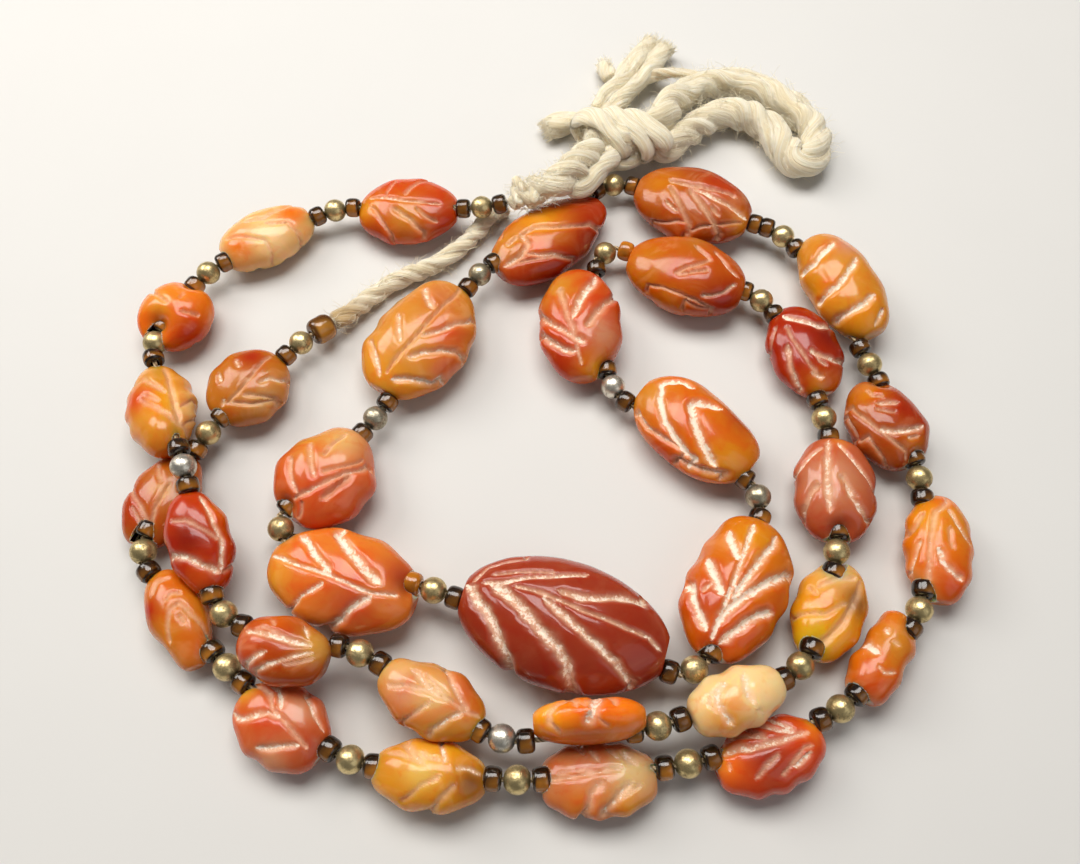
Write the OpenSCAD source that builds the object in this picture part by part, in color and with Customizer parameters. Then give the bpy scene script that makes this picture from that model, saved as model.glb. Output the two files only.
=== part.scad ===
// Carnelian bead necklace, one strand lying in two turns, tied with a cotton cord.
// It lies on its surface at z = 0. The origin is under the middle of the beads.
// X runs to the right, Y away from the viewer, Z up. All sizes are in millimetres.

/* [Spacer beads] */
// Diameter of a round brass bead
brass_d = 3.8; // [3.6:0.1:3.9]
// Diameter of a brown glass bead
glass_d = 3.0; // [2.6:0.1:3.1]
// Length of a brown glass bead along the thread
glass_len = 2.0; // [1.8:0.1:2.1]
// Diameter of the amber bead at the end of the strand
end_bead_d = 4.4; // [4.0:0.1:4.6]
// Length of the amber bead at the end of the strand
end_bead_len = 4.0; // [3.6:0.1:4.0]

/* [Thread] */
// Diameter of the thread
thread_d = 0.7; // [0.5:0.1:0.8]
// Diameter of the bore through every bead
bore_d = 1.2; // [1.1:0.1:1.3]
// Clear space between neighbours on the thread
gap = 0.15; // [0.12:0.01:0.18]

/* [Carving] */
// Depth of the scallops that the side veins cut in a stone's edge
scallop = 0.4; // [0.2:0.1:0.5]

/* [Cotton] */
// Diameter of the cotton cord that leads back from the end of the strand
tail_d = 3.2; // [2.8:0.1:3.3]
// Diameter of the cord that makes the loop
loop_d = 5.0; // [4.6:0.1:5.2]

/* [Hidden] */
STONES = 33;

// Carnelian beads in strand order, seen from above. Columns: x and y of the middle, heading of the
// long axis and roll about it in degrees, length, width, thickness, lift off the surface,
// egg (which end is fuller), scallops a side, bulge (2 is a plain oval, more is squarer) and tint
X = 0;
Y = 1;
HEADING = 2;
ROLL = 3;
LENGTH = 4;
WIDTH = 5;
THICK = 6;
LIFT = 7;
EGG = 8;
LOBES = 9;
BULGE = 10;
TINT = 11;
PALE = "sandybrown";
AMBER = "orange";
ORANGE = "darkorange";
RED = "orangered";
MAROON = "maroon";
stones = [
    [-22, 44.5, 180, 0, 16, 13.5, 7.5, 0, 0, 3, 2, RED],
    [-46, 39, 212, 0, 15.5, 11, 7, 0, 0, 2, 2.2, PALE],
    [-58.5, 23, 244, 0, 12, 12, 8, 0, 0, 0, 2, ORANGE],
    [-57.5, 5.5, 290, 0, 15, 11, 7, 1, 0, 4, 2, AMBER],
    [-47.5, -16.5, 292, 0, 15, 9.5, 7, 3, 0, 3, 2, MAROON],
    [-33.5, -32, 343, 0, 12.5, 9.5, 7, 4, 0, 2, 2.2, AMBER],
    [-13.5, -38, 332, 0, 15, 10, 7, 2.5, 0, 3, 2, ORANGE],
    [7.5, -41, 3, 80, 14.5, 9.5, 5.5, 2.5, 0, 2, 2.5, ORANGE],
    [26.5, -38.5, 22, 0, 12, 8.5, 7.5, 3.5, 0, 3, 2.5, PALE],
    [42, -25.5, 63, 0, 15, 10.5, 6.5, 0, 0, 3, 2, AMBER],
    [45, -7.5, 84, 0, 16, 12.5, 8, 0, 0, 3, 2.2, MAROON],
    [43.5, 16.5, 104, 0, 16, 12, 7.5, 0, 0, 3, 2, RED],
    [25.5, 30.5, 159, 0, 19, 14.5, 9, 0, 0, 2, 2, ORANGE],
    [7.5, 21, 272, 0, 20, 14, 9, 0, 0, 3, 2, RED],
    [25, 2.5, 320, 0, 20.5, 15, 9, 0, 0, 0, 2, ORANGE],
    [28.5, -22.5, 248, 0, 21.5, 15.5, 9, 0, -0.1, 4, 2.1, ORANGE],
    [4, -28, 163, 0, 28, 18, 12, 0, 0, 0, 2, MAROON],
    [-27, -21.5, 162, 0, 22, 15, 9, 0, 0, 3, 2, RED],
    [-31, -5.5, 56, 0, 16, 15.5, 9, 0, 0, 3, 2, RED],
    [-18.5, 18.5, 61, 0, 21, 17.5, 9, 0, 0, 4, 2, AMBER],
    [2.5, 38.5, 42, 0, 22, 13.5, 7.5, 0, -0.1, 3, 2, RED],
    [27.5, 45.5, 338, 0, 20, 15, 8.5, 0, 0, 2, 2, ORANGE],
    [51, 28.5, 292, 0, 20, 12, 9, 0, 0, 3, 2.2, ORANGE],
    [54.5, 3.5, 286, 0, 15, 12.5, 8, 0, 0, 3, 2, RED],
    [59, -16.5, 261, 0, 16, 10, 7, 0, 0, 4, 2.2, ORANGE],
    [48.5, -32, 236, 0, 13.5, 8, 7, 0, 0, 3, 2.8, ORANGE],
    [31.5, -45, 200, 0, 15, 10, 7, 0, 0, 4, 2, MAROON],
    [8.5, -48, 182, 10, 14.5, 10, 6, 0, 0, 4, 2.4, RED],
    [-13.5, -47.5, 174, 0, 15, 9.5, 7.5, 0, 0, 3, 2, AMBER],
    [-33.5, -41.5, 146, 0, 13, 12, 7, 0, 0, 3, 2, RED],
    [-50, -27, 117, 0, 15, 9, 7, 0, 0, 2, 2, ORANGE],
    [-55.5, -9, 71, 0, 14.5, 11, 6, 0, 0, 3, 2, RED],
    [-45, 10, 52, 0, 13, 13, 7.5, 0, 0, 3, 2, ORANGE]
];
// Middle of the brass bead in each group of spacers, from the cotton stem to the end of the strand
brass_at = [
    [-9, 44, 5.5], [-34.5, 44.5, 4], [-54.5, 31.5, 4], [-61, 18, 4], [-51, -5.5, 8.5], [-43, -26.5, 5.5],
    [-23.5, -32, 6], [-4, -43, 5.5], [16.5, -41.5, 6], [36.5, -33.5, 5], [44, -17, 4], [45, 4.5, 4],
    [37.5, 26, 4], [12, 35.5, 4], [12.5, 10, 4], [33.5, -8.5, 4], [22, -34, 5], [-14, -23, 5],
    [-37, -13.5, 4], [-24.5, 4.5, 4], [-9, 30.5, 5], [14, 50.5, 3.5], [42.5, 39, 4], [53.5, 14, 4],
    [58, -5.5, 4], [54.5, -25.5, 4], [41.5, -39, 4], [20.5, -46, 4], [-2, -48, 4], [-24, -45.5, 4],
    [-42, -33.5, 4], [-56.5, -17, 4], [-50, 2, 4], [-37.5, 18, 4]
];
// The group with a second glass bead before its brass bead
double_group = 22;

// Routes of the cotton. Columns: x, y, z, half width and half height, the last two left to the cord's
// own diameter on the tail and the loop
tail_points = [
    [-33, 22.5, 2.8], [-30.5, 25, 2.2], [-27.5, 28, 1.8], [-23.5, 31.5, 1.7], [-19.5, 33.5, 1.7],
    [-15.5, 36, 1.7], [-12, 39, 1.7], [-9.5, 42.5, 1.7], [-7.5, 45.5, 1.7], [-5, 47, 1.8]
];
loop_points = [
    [22.5, 63.5, 6], [25, 68, 5], [29, 72.5, 3.6], [33.5, 75, 2.8], [39, 75.2, 2.6], [44.5, 73.2, 2.6],
    [48.5, 69, 2.6], [50.8, 63.5, 2.6], [50.6, 58, 2.6], [47.2, 55.5, 2.6], [44, 58, 2.6],
    [41.5, 62.5, 2.6], [37.5, 65.6, 2.6], [32.5, 65.6, 2.6], [27.5, 62.5, 2.8], [23.5, 59, 3.2]
];
stem_route = [
    [-4, 44.5, 6.5, 1.4, 1.2], [-2.3, 44.9, 7.4, 2.9, 2.1], [1, 45, 8.8, 3.1, 2.4], [4.4, 46.8, 9, 2.7, 2.4],
    [7, 50.2, 8.4, 2.7, 2.4], [9.3, 54, 7.2, 2.6, 2.3], [10.4, 56, 6.6, 2.2, 2]
];
side_route = [
    [9.6, 46.6, 6.8, 1.2, 1.2], [11.2, 49.2, 6.8, 1.3, 1.3], [12.9, 52.4, 6.2, 1.3, 1.3], [14.2, 55, 5.4, 1.2, 1.2]
];
knot_route = [
    [9, 61.5, 4.6, 2, 2], [10.5, 61, 4.6, 3.8, 3.6], [14, 60.2, 4.6, 4.6, 4.4], [17.5, 60.2, 4.6, 4.6, 4.4],
    [20.2, 61, 4.6, 3.6, 3.6], [21.8, 61.3, 4.6, 2.4, 2.4]
];
double_end_route = [
    [11.8, 65.8, 4.6, 1.8, 1.6], [14, 69, 4.4, 2.6, 2], [17.5, 74.5, 3.8, 2.9, 2], [21, 80.5, 3.2, 3.3, 1.9],
    [24, 85.5, 2.6, 3, 1.4]
];
frayed_end_route = [
    [9.9, 65, 3.8, 1.2, 1.2], [7, 66, 2.8, 1.8, 1.7], [4.5, 65.5, 2.4, 2.4, 2], [2.2, 64.4, 2.2, 2.4, 1.8]
];
short_end_route = [[14.4, 76.8, 2.2, 1.2, 1.3], [13.8, 78.5, 2.2, 1.7, 1.6], [13.2, 81, 2, 1.5, 1.4]];
thin_strand_route = [
    [23.2, 75.8, 3.4, 1, 1.1], [25, 76.8, 3.6, 1, 1], [27.5, 77, 3.4, 0.9, 0.9], [29.6, 76.8, 3.2, 0.8, 0.8]
];

stone_sides = 14;
stone_rings = 13;
// Sides of the drilled beads and of the bores
bead_sides = 32;
bore_sides = 24;
thread_sides = 8;
// How much of its corner-to-corner size a glass bead keeps once its rims are rounded
rounding = 0.93;
// How much of its diameter the loop's cord keeps where it goes into the knot
loop_end_share = 0.8;
// How far along its unit length a stone is cut off flat for the drill
flat_at = 0.955;
up = [0, 0, 1];

function stone_name(k) = str("bead_", k < 10 ? "0" : "", k);
function unit(v) = v / norm(v);
function point(row) = [row.x, row.y, row.z];

// Faces that skin a row of rings, each of the same number of points, with both ends closed
function skin_faces(rings, sides) = concat(
    [[for (j = [0:sides - 1]) j]],
    [for (i = [0:rings - 2]) for (j = [0:sides - 1])
        [i * sides + j, (i + 1) * sides + j, (i + 1) * sides + (j + 1) % sides]],
    [for (i = [0:rings - 2]) for (j = [0:sides - 1])
        [i * sides + j, (i + 1) * sides + (j + 1) % sides, i * sides + (j + 1) % sides]],
    [[for (j = [sides - 1:-1:0]) (rings - 1) * sides + j]]
);

// A stone about its own middle: t runs from -flat_at to flat_at along it, a runs round it
function stone_t(i) = -flat_at * cos(180 * i / (stone_rings - 1));
function fullness(s, t) = pow(1 - pow(abs(t), s[BULGE]), 1 / s[BULGE]) * (1 + s[EGG] * t);
function notch(s, t, a) = scallop * pow(abs(cos(a)), 3) * (1 - cos(180 * s[LOBES] * (t / flat_at + 1))) / 2;
function stone_point(s, t, a) = [
    t / flat_at * s[LENGTH] / 2,
    (s[WIDTH] / 2 - notch(s, t, a)) * fullness(s, t) * cos(a),
    s[THICK] / 2 * fullness(s, t) * sin(a)
];
function stone_points(s) = [
    for (i = [0:stone_rings - 1]) for (j = [0:stone_sides - 1])
        stone_point(s, stone_t(i), 360 * j / stone_sides)
];
// Height of a stone's point once it is rolled and pitched
function turned_z(p, roll, pitch) = p.x * sin(pitch) + (p.y * sin(roll) + p.z * cos(roll)) * cos(pitch);
function stone_z(k) =
    stones[k][LIFT] - min([for (p = stone_points(stones[k])) turned_z(p, stones[k][ROLL], pitch(k))]);

// The strand: each brass bead turns halfway between the runs of thread at its two sides
function run(k) = unit(brass_at[k + 1] - brass_at[k]);
function first_run() = unit(brass_at[0] - point(stem_route[0]));
function last_run() = unit(tail_points[0] - brass_at[STONES]);
function brass_dir(k) = unit((k == 0 ? first_run() : run(k - 1)) + (k == STONES ? last_run() : run(k)));
function thread_in(k) = brass_at[k] - brass_dir(k) * (brass_d / 2 + gap);
function thread_out(k) = brass_at[k] + brass_dir(k) * (brass_d / 2 + gap);
// The thread's own way out of the cotton stem and into the cotton tail
function start_dir() = unit(thread_in(0) - point(stem_route[0]));
function end_dir() = unit(tail_points[0] - thread_out(STONES));
// Room that a glass bead keeps from its brass bead, more where the thread turns between them
function slack(turn) =
    let(q = brass_d / 2 + gap, r = glass_d / 2, c = cos(turn), root = q * q * c * c - r * r + 2 * q * r * sin(turn))
    max(gap, root > 0 ? gap / 2 + sqrt(root) - q * c : 0);
function turn_at(k, dir) = acos(min(1, brass_dir(k) * dir));
// Direction of the bore through stone k, and how steeply it climbs
function bore_dir(k) = unit(thread_in(k + 1) - thread_out(k));
function pitch(k) = asin(bore_dir(k).z);
thread_points = concat(
    [point(stem_route[0]) + start_dir() * 2 * gap],
    [for (k = [0:STONES]) for (p = [thread_in(k), thread_out(k)]) p],
    [tail_points[0] - end_dir() * 2 * gap]
);

// Points of a tube of elliptic section along a route whose rows end in a half width and a half height
function heading_at(route, i) = unit(point(route[min(i + 1, len(route) - 1)]) - point(route[max(i - 1, 0)]));
function side_at(route, i) = unit(cross(up, heading_at(route, i)));
function tube_points(route, sides) = [
    for (i = [0:len(route) - 1]) for (j = [0:sides - 1])
        point(route[i]) + side_at(route, i) * route[i][3] * cos(360 * (j + 0.5) / sides)
            + cross(heading_at(route, i), side_at(route, i)) * route[i][4] * sin(360 * (j + 0.5) / sides)
];
// Rows of a round cord of diameter d that narrows to a share of it at its two ends
function cord_route(points, d, end_share = 1) = [
    for (i = [0:len(points) - 1])
        let(r = d / 2 * (i == 0 || i == len(points) - 1 ? end_share : 1)) concat(points[i], [r, r])
];

module tube(route, sides) {
    polyhedron(tube_points(route, sides), skin_faces(len(route), sides), convexity = 6);
}

// Stands a child that is made along Z at a point, pointing along dir
module aimed(at, dir) {
    translate(at) rotate([0, acos(dir.z), atan2(dir.y, dir.x)]) children();
}

module bore(at, dir, depth) {
    aimed(at, dir) cylinder(h = depth, d = bore_d, center = true, $fn = bore_sides);
}

// Where the glass beads beside stone k have their far ends from their brass beads
function reach_out(k) = slack(turn_at(k, bore_dir(k))) + glass_len;
function reach_in(k) = slack(turn_at(k + 1, bore_dir(k))) + glass_len * (k + 1 == double_group ? 2 : 1)
    + (k + 1 == double_group ? gap : 0);

// The hollow that a stone's drilled end leaves for the glass bead and the brass bead beyond it
module seat(brass, start, dir, reach) {
    translate(brass) sphere(d = brass_d + 2 * gap, $fn = bead_sides);
    aimed(start, dir) translate([0, 0, -gap]) cylinder(h = reach + 2 * gap, d = glass_d + 2 * gap, $fn = bead_sides);
}

module stone(k) {
    s = stones[k];
    dir = bore_dir(k);
    middle = (thread_out(k) + thread_in(k + 1)) / 2;
    color(s[TINT]) difference() {
        translate([s[X], s[Y], stone_z(k)]) rotate([s[ROLL], -pitch(k), s[HEADING]])
            polyhedron(stone_points(s), skin_faces(stone_rings, stone_sides), convexity = 4);
        bore(middle, dir, s[LENGTH] * 2);
        seat(brass_at[k], thread_out(k), dir, reach_out(k));
        seat(brass_at[k + 1], thread_in(k + 1), -dir, reach_in(k));
    }
}

module brass_bead(k) {
    difference() {
        aimed(brass_at[k], brass_dir(k)) sphere(d = brass_d, $fn = bead_sides);
        bore(brass_at[k], brass_dir(k), brass_d * 2);
    }
}

module tube_bead(at, dir, d, length) {
    difference() {
        aimed(at, dir) intersection() {
            cylinder(h = length, d = d, center = true, $fn = bead_sides);
            sphere(d = norm([d, length]) * rounding, $fn = bead_sides);
        }
        bore(at, dir, length * 2);
    }
}

module brass_spacers() {
    color("darkkhaki") for (k = [0:STONES]) brass_bead(k);
}

module glass_bead(start, dir, reach) {
    tube_bead(start + dir * (reach - glass_len / 2), dir, glass_d, glass_len);
}

module glass_spacers() {
    color("saddlebrown") {
        glass_bead(thread_in(0), -start_dir(), slack(turn_at(0, start_dir())) + glass_len);
        for (k = [0:STONES - 1]) glass_bead(thread_out(k), bore_dir(k), reach_out(k));
        for (k = [0:STONES - 1]) glass_bead(thread_in(k + 1), -bore_dir(k), reach_in(k));
        glass_bead(thread_in(double_group), -bore_dir(double_group - 1), gap + glass_len);
    }
}

module end_bead() {
    color("darkorange") tube_bead(thread_out(STONES) + end_dir() * (gap + end_bead_len / 2), end_dir(),
        end_bead_d, end_bead_len);
}

module thread() {
    color("wheat") tube(cord_route(thread_points, thread_d), thread_sides);
}

module cotton_tail() {
    color("ivory") tube(cord_route(tail_points, tail_d), 8);
}

module cotton_loop() {
    color("ivory") tube(cord_route(loop_points, loop_d, loop_end_share), 10);
}

module cotton_stem() {
    color("ivory") tube(stem_route, 10);
}

module cotton_side_strand() {
    color("ivory") tube(side_route, 8);
}

module cotton_knot() {
    color("ivory") tube(knot_route, 12);
}

module cotton_double_end() {
    color("ivory") tube(double_end_route, 10);
}

module cotton_frayed_end() {
    color("ivory") tube(frayed_end_route, 8);
}

module cotton_short_end() {
    color("ivory") tube(short_end_route, 8);
}

module cotton_thin_strand() {
    color("ivory") tube(thin_strand_route, 8);
}

for (k = [1:STONES]) stone(k - 1);
brass_spacers();
glass_spacers();
end_bead();
thread();
cotton_tail();
cotton_stem();
cotton_side_strand();
cotton_knot();
cotton_loop();
cotton_double_end();
cotton_frayed_end();
cotton_short_end();
cotton_thin_strand();
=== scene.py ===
import math
import random
from collections import namedtuple

import bmesh
import bpy
import numpy as np
from mathutils import Matrix, Vector


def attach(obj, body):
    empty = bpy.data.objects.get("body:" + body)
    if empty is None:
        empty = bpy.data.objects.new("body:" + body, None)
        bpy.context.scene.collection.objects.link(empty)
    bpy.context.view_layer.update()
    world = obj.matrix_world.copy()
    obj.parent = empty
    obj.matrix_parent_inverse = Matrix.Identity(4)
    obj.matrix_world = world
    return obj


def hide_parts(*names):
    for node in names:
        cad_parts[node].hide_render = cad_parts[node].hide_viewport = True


# A carnelian bead necklace, lying in two turns. Shapes are in millimetres until makeObject; the camera, the
# studio and the materials are in metres
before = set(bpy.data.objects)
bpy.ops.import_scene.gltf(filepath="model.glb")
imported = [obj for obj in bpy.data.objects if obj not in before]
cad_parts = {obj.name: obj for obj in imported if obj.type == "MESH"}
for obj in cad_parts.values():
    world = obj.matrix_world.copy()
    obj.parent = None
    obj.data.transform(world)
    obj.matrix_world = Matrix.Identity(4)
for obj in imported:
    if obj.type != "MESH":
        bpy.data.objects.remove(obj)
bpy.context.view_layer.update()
mm = 0.001
print("frame loaded")

# The camera stands where the photographer stood, looking down over the front edge
camera = {"at": (0.001, -0.05728, 0.13141), "tilt": 25, "lens": 30.467, "film": 36}


def makeCamera():
    view = bpy.data.objects.new("camera", bpy.data.cameras.new("camera"))
    view.location = camera["at"]
    view.rotation_euler = (math.radians(camera["tilt"]), 0, 0)
    view.data.lens = camera["lens"]
    view.data.sensor_width = camera["film"]
    view.data.clip_start = 0.01
    bpy.context.scene.collection.objects.link(view)
    bpy.context.scene.camera = view


makeCamera()

# Colours as they look in the photo, 0 to 255
palette = {
    "peach": (252, 196, 140), "paleAmber": (255, 202, 110), "amber": (255, 162, 26), "glow": (255, 184, 24),
    "caramel": (236, 150, 46), "orange": (248, 126, 18), "copper": (214, 102, 24), "redOrange": (232, 84, 14),
    "red": (206, 58, 6), "deepRed": (158, 32, 4), "maroon": (166, 48, 24), "brown": (160, 96, 38),
    "pale": (255, 213, 168), "rose": (238, 156, 128), "clay": (222, 116, 70), "frost": (244, 202, 166),
    "chalk": (246, 228, 208), "ember": (255, 150, 90), "layer": (255, 205, 165),
}


def linear(name):  # a palette name, or red, green and blue from 0 to 255
    rgb = palette[name] if isinstance(name, str) else name
    shares = [c / 255 for c in rgb]
    return tuple(c / 12.92 if c <= 0.04045 else ((c + 0.055) / 1.055) ** 2.4 for c in shares)


class Wire:  # one shader socket that Python's operators work on
    def __init__(self, shop, socket):
        self.shop, self.socket = shop, socket

    def value(self, operation, first, second):
        if self.socket.type == "RGBA":
            colour = {"A": first, "B": second, "Factor": 1.0}
            return self.shop.node("ShaderNodeMix", {"data_type": "RGBA", "blend_type": operation}, colour, "Result")
        return self.shop.node("ShaderNodeMath", {"operation": operation}, {0: first, 1: second})

    def __add__(self, other):
        return self.value("ADD", self, other)

    def __sub__(self, other):
        return self.value("SUBTRACT", self, other)

    def __rsub__(self, other):
        return self.value("SUBTRACT", other, self)

    def __mul__(self, other):
        return self.value("MULTIPLY", self, other)

    def clamp(self):
        return self.shop.node("ShaderNodeMath", {"operation": "ADD", "use_clamp": True}, {0: self, 1: 0.0})

    def between(self, low, high):  # 0 at low, 1 at high, smooth in the middle
        steps = {"Value": self, "From Min": low, "From Max": high, "To Min": 0.0, "To Max": 1.0}
        return self.shop.node("ShaderNodeMapRange", {"interpolation_type": "SMOOTHSTEP"}, steps)


class Shop:  # makes the nodes of one material
    def __init__(self, name):
        self.material = bpy.data.materials.new(name)
        self.material.use_nodes = True
        self.tree = self.material.node_tree
        self.tree.nodes.clear()

    def node(self, kind, settings=None, values=None, out=None):
        made = self.tree.nodes.new(kind)
        for key, setting in (settings or {}).items():
            setattr(made, key, setting)
        for key, given in (values or {}).items():
            socket = self.pick(made.inputs, key)
            if isinstance(given, Wire):
                self.tree.links.new(given.socket, socket)
            elif hasattr(given, "__len__") and socket.type == "RGBA":
                socket.default_value = (*given[:3], 1)
            else:
                socket.default_value = given
        return Wire(self, self.pick(made.outputs, out or 0)) if made.outputs else made

    def pick(self, sockets, key):
        if isinstance(key, int):
            return sockets[key]
        return next(s for s in sockets if s.name == key and s.enabled)

    def attribute(self, name, out="Fac"):
        return self.node("ShaderNodeAttribute", {"attribute_name": name}, out=out)

    def place(self):
        return self.node("ShaderNodeTexCoord", out="Object")

    def noise(self, where, scale, detail=2.0, rough=0.5, distortion=0.0):
        values = {"Vector": where, "Scale": scale, "Detail": detail, "Roughness": rough, "Distortion": distortion}
        return self.node("ShaderNodeTexNoise", {}, values, "Fac")

    def mix(self, factor, first, second):
        values = {"Factor": factor, "A": first, "B": second}
        return self.node("ShaderNodeMix", {"data_type": "RGBA"}, values, "Result")

    def bump(self, height, distance, strength=1.0):
        return self.node("ShaderNodeBump", {}, {"Height": height, "Distance": distance, "Strength": strength})

    def finish(self, values, share=None, over=None):  # "over" lies on "values" where share is 1
        shader = self.node("ShaderNodeBsdfPrincipled", {}, values)
        if over:
            top = self.node("ShaderNodeBsdfPrincipled", {}, over)
            shader = self.node("ShaderNodeMixShader", {}, {0: share, 1: shader, 2: top})
        self.node("ShaderNodeOutputMaterial", {}, {"Surface": shader})
        return self.material


def unit(vector):
    return vector / np.linalg.norm(vector)


def makeObject(name, points, faces, marks=None, colours=None, vectors=None):
    mesh = bpy.data.meshes.new(name)
    mesh.from_pydata([tuple(p) for p in np.asarray(points, float) * mm], [], [tuple(f) for f in faces])
    for key, values in (marks or {}).items():
        mesh.attributes.new(key, "FLOAT", "POINT").data.foreach_set("value", np.asarray(values, np.float32))
    for key, values in (colours or {}).items():
        full = np.c_[np.asarray(values, float), np.ones(len(values))].astype(np.float32)
        mesh.attributes.new(key, "FLOAT_COLOR", "POINT").data.foreach_set("color", full.ravel())
    for key, values in (vectors or {}).items():
        flat = np.asarray(values, np.float32).ravel()
        mesh.attributes.new(key, "FLOAT_VECTOR", "POINT").data.foreach_set("vector", flat)
    mesh.validate()
    made = bpy.data.objects.new(name, mesh)
    bpy.context.scene.collection.objects.link(made)
    return made


def dress(made, material, nodes=(), sharp=180):
    made.data.materials.clear()
    made.data.materials.append(material)
    made.data.shade_smooth()
    if sharp < 180:
        made.data.set_sharp_from_angle(angle=math.radians(sharp))
    if nodes:
        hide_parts(*nodes)
    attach(made, "root")
    return made


def gridFaces(rows, columns, start=0):  # quads of a tube, closed round its columns
    faces = []
    for i in range(rows - 1):
        for j in range(columns):
            k = (j + 1) % columns
            faces.append((start + i * columns + j, start + i * columns + k,
                          start + (i + 1) * columns + k, start + (i + 1) * columns + j))
    return faces


def capFaces(rows, columns):  # triangles to a middle point at each end, the two points after the grid
    first, last, far = rows * columns, rows * columns + 1, (rows - 1) * columns
    return ([(first, (j + 1) % columns, j) for j in range(columns)]
            + [(last, far + j, far + (j + 1) % columns) for j in range(columns)])


# The strand, as in the CAD, in millimetres
strand = {
    "brassWide": 3.8, "glassWide": 3.0, "glassLong": 2.0, "endWide": 4.4, "endLong": 4.0, "bore": 1.2,
    "gap": 0.15, "doubleGroup": 22, "flatAt": 0.955, "scallop": 0.4, "stones": 33,
}
brassAt = np.array([
    (-9, 44, 5.5), (-34.5, 44.5, 4), (-54.5, 31.5, 4), (-61, 18, 4), (-51, -5.5, 8.5), (-43, -26.5, 5.5),
    (-23.5, -32, 6), (-4, -43, 5.5), (16.5, -41.5, 6), (36.5, -33.5, 5), (44, -17, 4), (45, 4.5, 4),
    (37.5, 26, 4), (12, 35.5, 4), (12.5, 10, 4), (33.5, -8.5, 4), (22, -34, 5), (-14, -23, 5),
    (-37, -13.5, 4), (-24.5, 4.5, 4), (-9, 30.5, 5), (14, 50.5, 3.5), (42.5, 39, 4), (53.5, 14, 4),
    (58, -5.5, 4), (54.5, -25.5, 4), (41.5, -39, 4), (20.5, -46, 4), (-2, -48, 4), (-24, -45.5, 4),
    (-42, -33.5, 4), (-56.5, -17, 4), (-50, 2, 4), (-37.5, 18, 4),
])
tailRoute = [
    (-33, 22.5, 2.8), (-30.5, 25, 2.2), (-27.5, 28, 1.8), (-23.5, 31.5, 1.7), (-19.5, 33.5, 1.7),
    (-15.5, 36, 1.7), (-12, 39, 1.7), (-9.5, 42.5, 1.7), (-7.5, 45.5, 1.7), (-5, 47, 1.8),
]
loopRoute = [
    (22.5, 63.5, 6), (25, 68, 5), (29, 72.5, 3.6), (33.5, 75, 2.8), (39, 75.2, 2.6), (44.5, 73.2, 2.6),
    (48.5, 69, 2.6), (50.8, 63.5, 2.6), (50.6, 58, 2.6), (47.2, 55.5, 2.6), (44, 58, 2.6),
    (41.5, 62.5, 2.6), (37.5, 65.6, 2.6), (32.5, 65.6, 2.6), (27.5, 62.5, 2.8), (23.5, 59, 3.2),
]
stemRoute = [
    (-4, 44.5, 6.5, 1.4, 1.2), (-2.3, 44.9, 7.4, 2.9, 2.1), (1, 45, 8.8, 3.1, 2.4), (4.4, 46.8, 9, 2.7, 2.4),
    (7, 50.2, 8.4, 2.7, 2.4), (9.3, 54, 7.2, 2.6, 2.3), (10.4, 56, 6.6, 2.2, 2),
]
knotRoute = [
    (9, 61.5, 4.6, 2, 2), (10.5, 61, 4.6, 3.8, 3.6), (14, 60.2, 4.6, 4.6, 4.4), (17.5, 60.2, 4.6, 4.6, 4.4),
    (20.2, 61, 4.6, 3.6, 3.6), (21.8, 61.3, 4.6, 2.4, 2.4),
]
doubleRoute = [
    (11.8, 65.8, 4.6, 1.8, 1.6), (14, 69, 4.4, 2.6, 2), (17.5, 74.5, 3.8, 2.9, 2), (21, 80.5, 3.2, 3.3, 1.9),
    (24, 85.5, 2.6, 3, 1.4),
]
frayedRoute = [(9.9, 65, 3.8, 1.2, 1.2), (7, 66, 2.8, 1.8, 1.7), (4.5, 65.5, 2.4, 2.4, 2), (2.2, 64.4, 2.2, 2.4, 1.8)]
shortRoute = [(14.4, 76.8, 2.2, 1.2, 1.3), (13.8, 78.5, 2.2, 1.7, 1.6), (13.2, 81, 2, 1.5, 1.4)]


def brassRun(k):  # from one brass bead to the next
    return unit(brassAt[k + 1] - brassAt[k])


def brassDir(k):
    before = unit(brassAt[0] - np.array(stemRoute[0][:3])) if k == 0 else brassRun(k - 1)
    after = unit(np.array(tailRoute[0]) - brassAt[k]) if k == strand["stones"] else brassRun(k)
    return unit(before + after)


def threadIn(k):  # where the thread reaches brass bead k, and where it leaves it
    return brassAt[k] - brassDir(k) * (strand["brassWide"] / 2 + strand["gap"])


def threadOut(k):
    return brassAt[k] + brassDir(k) * (strand["brassWide"] / 2 + strand["gap"])


def boreDir(k):  # direction of the bore through the stone after brass bead k
    return unit(threadIn(k + 1) - threadOut(k))


def slack(k, way):  # room between a brass bead and its glass bead, more where the thread turns
    q, r, gap = strand["brassWide"] / 2 + strand["gap"], strand["glassWide"] / 2, strand["gap"]
    turn = math.acos(min(1, float(brassDir(k) @ way)))
    root = (q * math.cos(turn)) ** 2 - r * r + 2 * q * r * math.sin(turn)
    return max(gap, gap / 2 + math.sqrt(root) - q * math.cos(turn) if root > 0 else 0)


def reachOut(k):  # room that the glass beads take up before a stone, and after it
    return slack(k, boreDir(k)) + strand["glassLong"]


def reachIn(k):
    double = k + 1 == strand["doubleGroup"]
    return slack(k + 1, boreDir(k)) + strand["glassLong"] * (2 if double else 1) + (strand["gap"] if double else 0)


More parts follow.
